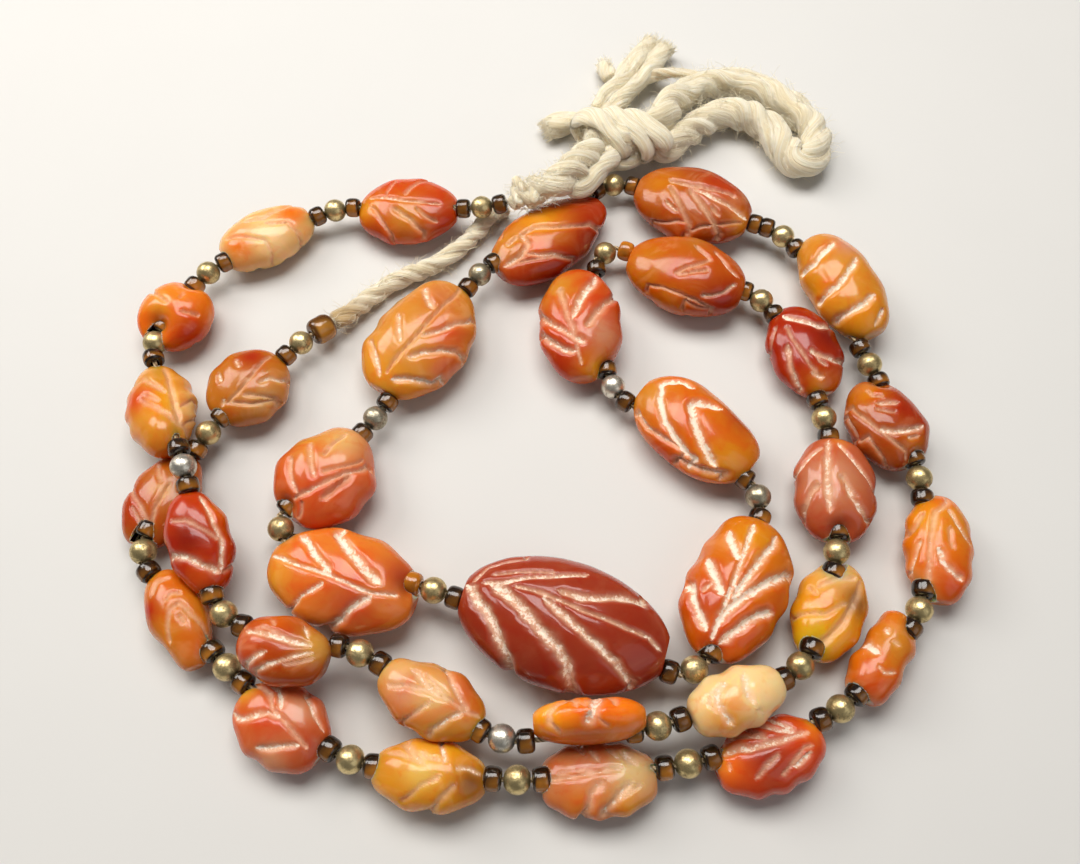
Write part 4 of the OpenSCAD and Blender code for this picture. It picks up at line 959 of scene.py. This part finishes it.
def stoneGrid(row):  # t and angle of the surface's points, closer together on the upper side
    edge, crowd, (start, stop) = strand["flatAt"], stoneLook["crowd"], stoneLook["upper"]
    rings = int(row.long / stoneLook["grid"])
    upper = int(math.pi * (row.wide + row.thick) / 4 / stoneLook["grid"])
    lower = int(upper * stoneLook["grid"] / stoneLook["underGrid"])
    t = -edge * np.cos(np.pi * np.arange(rings) / (rings - 1)) * crowd + np.linspace(-edge, edge, rings) * (1 - crowd)
    above = np.linspace(start, stop, upper, endpoint=False)
    below = np.linspace(stop, start + 360, lower, endpoint=False)
    return np.meshgrid(t, np.r_[above, below] * math.pi / 180, indexing="ij")


def outwardOf(surface):  # unit normals of the grid
    aside = np.roll(surface, -1, axis=1) - np.roll(surface, 1, axis=1)
    out = np.cross(aside, np.gradient(surface, axis=0))
    out /= np.maximum(np.linalg.norm(out, axis=2, keepdims=True), 1e-9)
    return out * np.sign((out * (surface * [0.2, 1, 1])).sum(2, keepdims=True))


def carve(number, row, flat):  # how deep the grooves are at each point, how ground it is and how white
    look = stoneLook
    sink, ground, chalk = np.zeros((3, len(flat)))
    coarseGrain, fineGrain = ripples(flat, number, look["coarse"]), ripples(flat, number + 50, look["fine"])
    small = min(1, row.wide / look["smallWide"], row.thick / look["smallThick"])
    for wide, white, *steps in grooves[number] + backGrooves(row, number):
        trace, share, long = traceGroove(row, overRim(steps))
        away = np.linalg.norm(flat[:, None, :] - trace[None, :, :], axis=2)
        near, index = away.min(1), away.argmin(1)
        toEnd = np.minimum(share[index], 1 - share[index]) * long
        thin = look["thinFrom"] + (1 - look["thinFrom"]) * np.clip(toEnd / (wide * look["thinReach"]), 0, 1) ** 0.6
        reach = wide * look["halfWide"] * thin * (1 + look["waver"] * coarseGrain)
        cut = np.clip(look["floorWide"] - near / (reach * look["valley"]), 0, 1) ** 1.3
        soft = np.exp(-(near / look["softReach"]) ** 1.3) * look["softShare"]
        deep = look["grooveDeep"] * min(look["deepest"], look["leastDeep"] + wide * look["byWidth"]) * thin * small
        sink = np.maximum(sink, deep * (cut * (1 - look["softShare"]) + soft))
        ground = np.maximum(ground, np.exp(-(near / (reach * look["groundWide"])) ** 3))
        ragged = near + look["jagged"] * wide * fineGrain
        chalk = np.maximum(chalk, white * np.exp(-(np.maximum(ragged, 0) / reach) ** 4))
    return sink, ground, chalk


def paint(number, row, flat):  # colour of each point
    base, patches = zones[number]
    tint = np.tile(linear(base), (len(flat), 1))
    for alongAt, roundAt, reach, name in patches:
        middle = stonePoint(row, np.array(min(0.93, max(-0.93, alongAt))), np.array(math.radians(roundAt)))
        weight = np.exp(-(np.linalg.norm(flat - middle, axis=1) / reach) ** 2)[:, None]
        tint = tint * (1 - weight) + np.array(linear(name)) * weight
    tint = tint * lighter.get(number, 1) * (stoneLook["fuller"] if number in fuller else 1)
    return tint + (np.array(linear("peach")) - tint) * milky.get(number, 0)


def layDown(k, row, flat, alongT, sides):  # turns the stone to its place and draws short ends out to their spacers
    turn, edge = stoneTurn(k, row), strand["flatAt"]
    coarseT = -edge * np.cos(np.pi * np.arange(stoneLook["cadRings"]) / (stoneLook["cadRings"] - 1))
    coarseA = 2 * np.pi * np.arange(stoneLook["cadSides"]) / stoneLook["cadSides"]
    coarse = stonePoint(row, *np.meshgrid(coarseT, coarseA, indexing="ij")).reshape(-1, 3)
    placed = flat @ turn.T + [row.x, row.y, row.lift - (coarse @ turn.T)[:, 2].min()]
    placed[:, 2] += max(0, row.lift - placed[:, 2].min())
    ends = [placed[:sides].mean(0), placed[-sides:].mean(0)]
    way, share = boreDir(k), alongT.reshape(-1, 1) / edge
    near = np.clip((np.abs(share) - stoneLook["endFrom"]) / (1 - stoneLook["endFrom"]), 0, 1) ** 2
    rooms = [(ends[0] - threadOut(k)) @ way - reachOut(k), (threadIn(k + 1) - ends[1]) @ way - reachIn(k)]
    start, stop = np.clip(np.array(rooms) - stoneLook["endGap"], 0, stoneLook["endStretch"])
    placed = placed + way * near * np.where(share < 0, -start, stop)
    return np.vstack([placed, placed[:sides].mean(0), placed[-sides:].mean(0)])


def makeStone(number, materials):
    k, row = number - 1, stoneRows[number - 1]
    alongT, roundA = stoneGrid(row)
    rings, sides = alongT.shape
    surface = stonePoint(row, alongT, roundA)
    flat, outward = surface.reshape(-1, 3), outwardOf(surface).reshape(-1, 3)
    sink, ground, chalk = carve(number, row, flat)
    rim = 1 + stoneLook["rimDeeper"] * np.abs(np.cos(roundA.ravel())) ** 3
    sink *= rim * np.minimum(1, stoneLook["endShallow"] * stoneFullness(row, alongT.ravel()))
    billow = stoneLook["uneven"] * ripples(flat, number + 90, stoneLook["billow"])
    flat = flat - outward * (sink + billow)[:, None]
    for alongAt, roundAt, reach, deep in trims.get(number, []):
        middle = stonePoint(row, np.array(float(alongAt)), np.array(math.radians(roundAt)))
        flat = flat - outward * (deep * np.exp(-(np.linalg.norm(flat - middle, axis=1) / reach) ** 2))[:, None]
    tint = paint(number, row, flat)
    faces = gridFaces(rings, sides) + capFaces(rings, sides)
    marks = {"carved": np.r_[ground, 0, 0], "chalk": np.r_[chalk, 0, 0]}
    colours = {"tint": np.vstack([tint, tint[:1], tint[-1:]])}
    made = makeObject("stone" + str(number).zfill(2), layDown(k, row, flat, alongT, sides), faces, marks, colours)
    cutStone(made, k)
    nodes = ["bead_" + str(number).zfill(2)]
    return dress(made, materials[row.finish], nodes, stoneLook["sharp"])


def aimedMatrix(at, way):  # puts a shape made along Z at a place, along a direction
    turn = Vector((0, 0, 1)).rotation_difference(Vector(way)).to_matrix().to_4x4()
    return Matrix.Translation(Vector(at) * mm) @ turn


def makeCutter(kind, at, way, wide, long=0.0):
    build, radius = bmesh.new(), wide / 2 * mm
    if kind == "rod":
        bmesh.ops.create_cone(build, cap_ends=True, segments=40, radius1=radius, radius2=radius, depth=long * mm)
    else:
        bmesh.ops.create_uvsphere(build, u_segments=40, v_segments=24, radius=radius)
    if kind == "bead":  # the same rounding as a glass bead
        for vert in build.verts:
            along, out = vert.co.z / radius, math.hypot(vert.co.x, vert.co.y) / radius
            vert.co.z = math.copysign(abs(along) ** glass["square"], along) * long / 2 * mm
            if out > 1e-6:
                vert.co.x *= out ** (glass["square"] - 1)
                vert.co.y *= out ** (glass["square"] - 1)
    bmesh.ops.transform(build, matrix=aimedMatrix(at, way), verts=build.verts)
    mesh = bpy.data.meshes.new("cutter")
    build.to_mesh(mesh)
    build.free()
    cutter = bpy.data.objects.new("cutter", mesh)
    bpy.context.scene.collection.objects.link(cutter)
    return cutter


def dropCrumbs(build):  # tiny loose bits that a cut leaves behind
    left, parts = set(build.verts), []
    while left:
        stack, part = [left.pop()], []
        while stack:
            vert = stack.pop()
            part.append(vert)
            for edge in vert.link_edges:
                other = edge.other_vert(vert)
                if other in left:
                    left.remove(other)
                    stack.append(other)
        parts.append(part)
    parts.sort(key=len)
    bmesh.ops.delete(build, geom=[vert for part in parts[:-1] for vert in part], context="VERTS")


def cleanMesh(mesh):
    build = bmesh.new()
    build.from_mesh(mesh)
    bmesh.ops.remove_doubles(build, verts=build.verts, dist=stoneLook["double"] * mm)
    bmesh.ops.dissolve_degenerate(build, dist=stoneLook["sliver"] * mm, edges=build.edges)
    dropCrumbs(build)
    build.to_mesh(mesh)
    build.free()


def cutStone(made, k):  # drills the bore, and the hollows where the spacers nest in the stone's ends
    way, room = boreDir(k), 2 * glass["clearance"]
    wide, long = glassSize + room
    cutters = [makeCutter("rod", (threadOut(k) + threadIn(k + 1)) / 2, way, strand["bore"], stoneRows[k].long * 2)]
    for near, start, go, reach in ((k, threadOut(k), way, reachOut(k)), (k + 1, threadIn(k + 1), -way, reachIn(k))):
        last = start + go * (reach - strand["glassLong"] / 2)  # the glass bead next to the stone
        cutters.append(makeCutter("ball", brassAt[near], way, strand["brassWide"] + 2 * room))
        cutters.append(makeCutter("bead", last, go, wide, long))
        cutters.append(makeCutter("rod", last - go * reach / 2, go, wide, reach))
    for cutter in cutters:
        cut = made.modifiers.new("cut", "BOOLEAN")
        cut.operation, cut.solver, cut.object = "DIFFERENCE", "MANIFOLD", cutter
    mesh = bpy.data.meshes.new_from_object(made.evaluated_get(bpy.context.evaluated_depsgraph_get()))
    cleanMesh(mesh)
    made.modifiers.clear()
    old, made.data = made.data, mesh
    bpy.data.meshes.remove(old)
    for cutter in cutters:
        spent = cutter.data
        bpy.data.objects.remove(cutter)
        bpy.data.meshes.remove(spent)


def carnelianMaterial(name, cloud, veil, reach):
    shop, look = Shop(name), stoneLook
    where = shop.place()
    tint = shop.attribute("tint", "Color") * look["deeper"]
    carved, chalk = shop.attribute("carved"), shop.attribute("chalk")
    clouds = shop.noise(where, look["cloudScale"], 3.0, 0.55, 1.2)
    layers = shop.noise(where, look["layerScale"], 4.0, 0.6, 0.6)
    grain = shop.noise(where, look["grainScale"], 3.0, 0.65)
    dust = shop.noise(where, look["dustScale"], 3.0, 0.65)
    broken = grain.between(0.34, 0.66) * 0.5 + dust.between(0.34, 0.66) * 0.35
    stone = shop.mix(clouds.between(0.5, 0.72) * cloud, tint, tint * linear("ember"))
    stone = shop.mix(clouds.between(0.5, 0.3) * veil, stone, linear("peach"))
    stone = shop.mix(layers.between(0.54, 0.7) * 0.5, stone, tint * linear("layer"))
    white = (chalk * 1.3 - 0.4 - broken * 0.9).between(0.0, 0.4)
    frosted = (carved * 0.5 + chalk.between(0.05, 0.9) * 0.5 + (grain - 0.5) * carved * 0.8).clamp()
    height = dust * carved * 0.5 + grain * carved * 0.6 + layers * 0.14 + clouds * 0.5 + grain * 0.08
    bumps = shop.bump(height, 0.00035, 0.6)
    polished = {
        "Base Color": stone, "Roughness": layers * 0.12 + (look["rough"] - 0.04), "IOR": 1.54,
        "Specular IOR Level": look["gloss"], "Coat Weight": look["coat"], "Coat Roughness": look["coatRough"],
        "Normal": bumps, "Subsurface Weight": look["glow"],
        "Subsurface Radius": (1.0, 0.4, 0.12), "Subsurface Scale": reach,
    }
    scratched = {
        "Base Color": shop.mix(white * 0.9, shop.mix(look["frosting"], stone, linear("frost")), linear("chalk")),
        "Roughness": white * (look["chalkRough"] - look["cutRough"]) + look["cutRough"],
        "Specular IOR Level": look["cutGloss"], "Subsurface Weight": look["cutGlow"],
        "Subsurface Radius": (1.0, 0.5, 0.3), "Subsurface Scale": look["cutReach"], "Normal": bumps,
    }
    return shop.finish(polished, (frosted + white).clamp(), scratched)


# Finish: how cloudy, how milky, how far light goes in
finishes = {
    "pale": (0.2, 0.4, "clearReach"), "amber": (0.3, 0.2, "clearReach"), "orange": (0.4, 0.15, "glowReach"),
    "red": (0.5, 0.08, "glowReach"), "maroon": (0.5, 0.03, "glowReach"),
}


def makeStones():
    materials = {}
    for finish, (cloud, veil, reach) in finishes.items():
        materials[finish] = carnelianMaterial("carnelian" + finish.capitalize(), cloud, veil, stoneLook[reach])
    for number in range(1, strand["stones"] + 1):
        makeStone(number, materials)


makeStones()
print("stones made")


def latheBead(profile, at, way, sides, wobble, dice):  # profile: (along, radius) pairs, closed in itself
    turn = np.array(Vector((0, 0, 1)).rotation_difference(Vector(way)).to_matrix())
    around = np.linspace(0, 2 * math.pi, sides, endpoint=False)
    waves = [(dice.uniform(0, 6.3), dice.uniform(0, 6.3)) for _ in range(3)]
    rows = []
    for z, r in profile:
        dents = [math.sin(p + 1.3 * z * n) * np.cos((n + 1) * around + q) for n, (p, q) in enumerate(waves, 1)]
        uneven = 1 + wobble * sum(dents) / 3
        rows.append(np.column_stack([np.cos(around) * r * uneven, np.sin(around) * r * uneven, np.full(sides, z)]))
    return np.vstack(rows) @ turn.T + at


def closedFaces(rows, sides, start):  # quads of a ring of rows, its last joined to its first
    faces = gridFaces(rows, sides, start)
    last = start + (rows - 1) * sides
    return faces + [(last + j, last + (j + 1) % sides, start + (j + 1) % sides, start + j) for j in range(sides)]


def brassProfile():
    r, hole = strand["brassWide"] / 2, strand["bore"] / 2
    rim = math.asin((hole + brass["rimWide"]) / r)
    ball = [(-r * math.cos(a), r * math.sin(a)) for a in np.linspace(rim, math.pi - rim, brass["along"])]
    z = ball[-1][0]
    lip = [(z + along, hole + out) for along, out in brass["lip"]]
    return [(-p, q) for p, q in reversed(lip)] + ball + lip


def glassProfile(wide, long):
    r, hole, half, shoulder = wide / 2, strand["bore"] / 2, long / 2, glass["shoulder"]
    body = []
    for a in np.linspace(0.0, math.pi, glass["along"]):
        along = math.copysign(abs(math.cos(a)) ** glass["square"], math.cos(a))
        body.append((-half * along, hole + shoulder + (r - hole - shoulder) * abs(math.sin(a)) ** glass["square"]))
    lip = [(half - inward, hole + out) for inward, out in glass["lip"]]
    return [(-p, q) for p, q in reversed(lip)] + body + lip


def brassMaterial():
    shop = Shop("agedBrass")
    where = shop.place()
    patches = shop.noise(where, brass["patches"], 4.0, 0.6, 0.4)
    specks = shop.noise(where, brass["specks"], 3.0, 0.65)
    dull = (patches * 0.6 + specks * 0.5).between(0.48, 0.72)
    colour = shop.mix(dull * 0.75, shop.attribute("tint", "Color"), linear(brass["dark"]))
    return shop.finish({
        "Base Color": colour, "Metallic": brass["metal"] - dull * 0.3,
        "Roughness": dull * 0.25 + brass["rough"] - 0.08,
        "Normal": shop.bump(patches * 0.8 + specks * 0.35, 0.00016, 0.7),
    })


def makeBrass():
    dice, profile, around = random.Random(5), brassProfile(), brass["around"]
    points, faces, tint = [], [], []
    for k in range(strand["stones"] + 1):
        faces += closedFaces(len(profile), around, sum(len(p) for p in points))
        points.append(latheBead(profile, brassAt[k], brassDir(k), around, brass["wobble"], dice))
        name = "silver" if k in brass["silvery"] else "grey" if k in brass["greyish"] else "gold"
        blend = dice.uniform(0, brass["blend"])
        colour = np.array(linear(brass[name])) * (1 - blend) + np.array(linear(brass["olive"])) * blend
        tint += [colour] * len(points[-1])
    made = makeObject("brassSpacers", np.vstack(points), faces, colours={"tint": tint})
    return dress(made, brassMaterial(), ["brass_spacers"], brass["sharp"])


def glassPlaces():  # middle and direction of every brown glass bead, with its group and side
    gap, half = strand["gap"], strand["glassLong"] / 2
    startDir = unit(threadIn(0) - np.array(stemRoute[0][:3]))
    found = [(threadIn(0) - startDir * (slack(0, startDir) + half), startDir, 0, -1)]
    for k in range(strand["stones"]):
        found.append((threadOut(k) + boreDir(k) * (reachOut(k) - half), boreDir(k), k, 1))
        found.append((threadIn(k + 1) - boreDir(k) * (reachIn(k) - half), boreDir(k), k + 1, -1))
    double = strand["doubleGroup"]
    found.append((threadIn(double) - boreDir(double - 1) * (gap + half), boreDir(double - 1), double, -1))
    return found


def glassMaterial(name, fallback):
    shop = Shop(name)
    where = shop.place()
    swirl = shop.noise(where, glass["swirls"], 3.0, 0.5, 0.6)
    # Painted glow: the lit colour lies on the side away from the light, standing in for light that shines through
    paintedGlowShare = shop.attribute("glow")
    body = shop.mix(paintedGlowShare.between(0.4, 0.95), shop.attribute("tint", "Color"), shop.attribute("lit", "Color"))
    colour = shop.mix(swirl.between(0.45, 0.75) * 0.35, body, linear(fallback))
    return shop.finish({
        "Base Color": colour, "Roughness": swirl * 0.08 + glass["rough"], "IOR": 1.52, "Specular IOR Level": 0.7,
        "Transmission Weight": glass["clear"], "Subsurface Weight": 0.2, "Subsurface Radius": (1.0, 0.5, 0.2),
        "Subsurface Scale": 0.001, "Normal": shop.bump(swirl, 0.00008, 0.5),
    })


def glowOf(points, at, way, long):  # how much a point looks away from the light: painted glow, standing in for light shining through the glass, strongest mid-length
    away = (points - at) @ np.array(glass["glowWay"])
    middle = 1 - np.abs((points - at) @ way) / long * 2
    return np.clip(0.55 + away / strand["glassWide"], 0, 1) * np.clip(middle * 2.4, 0, 1)


def makeGlass(dice):
    profile, around = glassProfile(*glassSize), glass["around"]
    points, faces, tint, lit, glow = [], [], [], [], []
    for at, way, group, side in glassPlaces():
        faces += closedFaces(len(profile), around, sum(len(p) for p in points))
        points.append(latheBead(profile, at, way, around, glass["wobble"], dice))
        amber = (group, side) in glass["amberOnes"]
        shade = dice.uniform(*glass["shades"])
        tint += [np.array(linear(glass["amber" if amber else "brown"])) * shade] * len(points[-1])
        # Painted glow: each bead's glow colour, laid on the side away from the light
        bright = dice.uniform(*glass["glows"])
        lit += [np.array(linear(glass["amber" if amber else "glow"])) * bright] * len(points[-1])
        glow += list(glowOf(points[-1], at, way, glassSize[1]))
    made = makeObject("glassSpacers", np.vstack(points), faces, {"glow": glow}, {"tint": tint, "lit": lit})
    return dress(made, glassMaterial("brownGlass", glass["brown"]), ["glass_spacers"], glass["sharp"])


def makeEndBead(dice):
    last, long, around = threadOut(strand["stones"]), strand["endLong"], glass["endAround"]
    way = unit(np.array(tailRoute[0]) - last)
    at, profile = last + way * (strand["gap"] + long / 2), glassProfile(strand["endWide"], long)
    shape = latheBead(profile, at, way, around, glass["endWobble"], dice)
    # endLit is the end bead's painted glow
    colours = {"tint": [linear(glass["endColour"])] * len(shape), "lit": [linear(glass["endLit"])] * len(shape)}
    faces = closedFaces(len(profile), around, 0)
    made = makeObject("endBead", shape, faces, {"glow": glowOf(shape, at, way, long)}, colours)
    return dress(made, glassMaterial("amberGlass", glass["endColour"]), ["end_bead"], glass["sharp"])


glassDice = random.Random(9)
makeBrass()
makeGlass(glassDice)
makeEndBead(glassDice)
print("spacers made")


threadLook = {"dark": (120, 92, 60), "light": (214, 190, 150), "turns": 900.0, "rough": 0.8}


def dressThread():
    shop = Shop("threadFibre")
    values = {"Vector": shop.place(), "Scale": threadLook["turns"], "Distortion": 1.5}
    twist = shop.node("ShaderNodeTexWave", {"bands_direction": "DIAGONAL"}, values, "Fac")
    colour = shop.mix(twist, linear(threadLook["dark"]), linear(threadLook["light"]))
    look = {"Base Color": colour, "Roughness": threadLook["rough"], "Normal": shop.bump(twist, 0.0001)}
    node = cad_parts["thread"]
    node.data.materials.clear()
    node.data.materials.append(shop.finish(look))


dressThread()
print("thread dressed")

studio = {
    "floor": (214, 212, 208), "floorGrain": (198, 196, 192), "floorSize": 1.6,
    "lights": [  # name, place, width, height, power, colour
        ("overhead", (-0.02, 0.17, 0.42), 0.36, 0.24, 2.05, (1.0, 0.98, 0.95)),
        ("window", (-0.42, 0.28, 0.40), 0.30, 0.30, 1.95, (1.0, 0.97, 0.93)),
        ("fill", (0.45, -0.35, 0.45), 0.5, 0.5, 0.55, (0.94, 0.97, 1.0)),
    ],
    "sky": 0.12,
}


def makeStudio():
    half = studio["floorSize"] / 2
    mesh = bpy.data.meshes.new("floor")
    mesh.from_pydata([(-half, -half, 0), (half, -half, 0), (half, half, 0), (-half, half, 0)], [], [(0, 1, 2, 3)])
    floor = bpy.data.objects.new("floor", mesh)
    bpy.context.scene.collection.objects.link(floor)
    shop = Shop("paperFloor")
    grain = shop.noise(shop.place(), 60.0, 4.0)
    colour = shop.mix(grain * 0.15, linear(studio["floor"]), linear(studio["floorGrain"]))
    mesh.materials.append(shop.finish({"Base Color": colour, "Roughness": 0.8}))
    for name, at, wide, high, power, colour in studio["lights"]:
        lamp = bpy.data.lights.new(name, "AREA")
        lamp.shape, lamp.size, lamp.size_y, lamp.energy, lamp.color = "RECTANGLE", wide, high, power, colour
        holder = bpy.data.objects.new(name, lamp)
        holder.location = at
        holder.rotation_euler = Vector(at).to_track_quat("Z", "Y").to_euler()
        bpy.context.scene.collection.objects.link(holder)
    world = bpy.data.worlds.new("studioSky")
    bpy.context.scene.world = world
    world.use_nodes = True
    world.node_tree.nodes["Background"].inputs[0].default_value = (1, 1, 1, 1)
    world.node_tree.nodes["Background"].inputs[1].default_value = studio["sky"]
    bpy.context.scene.view_settings.view_transform = "Standard"


makeStudio()
print("studio made")
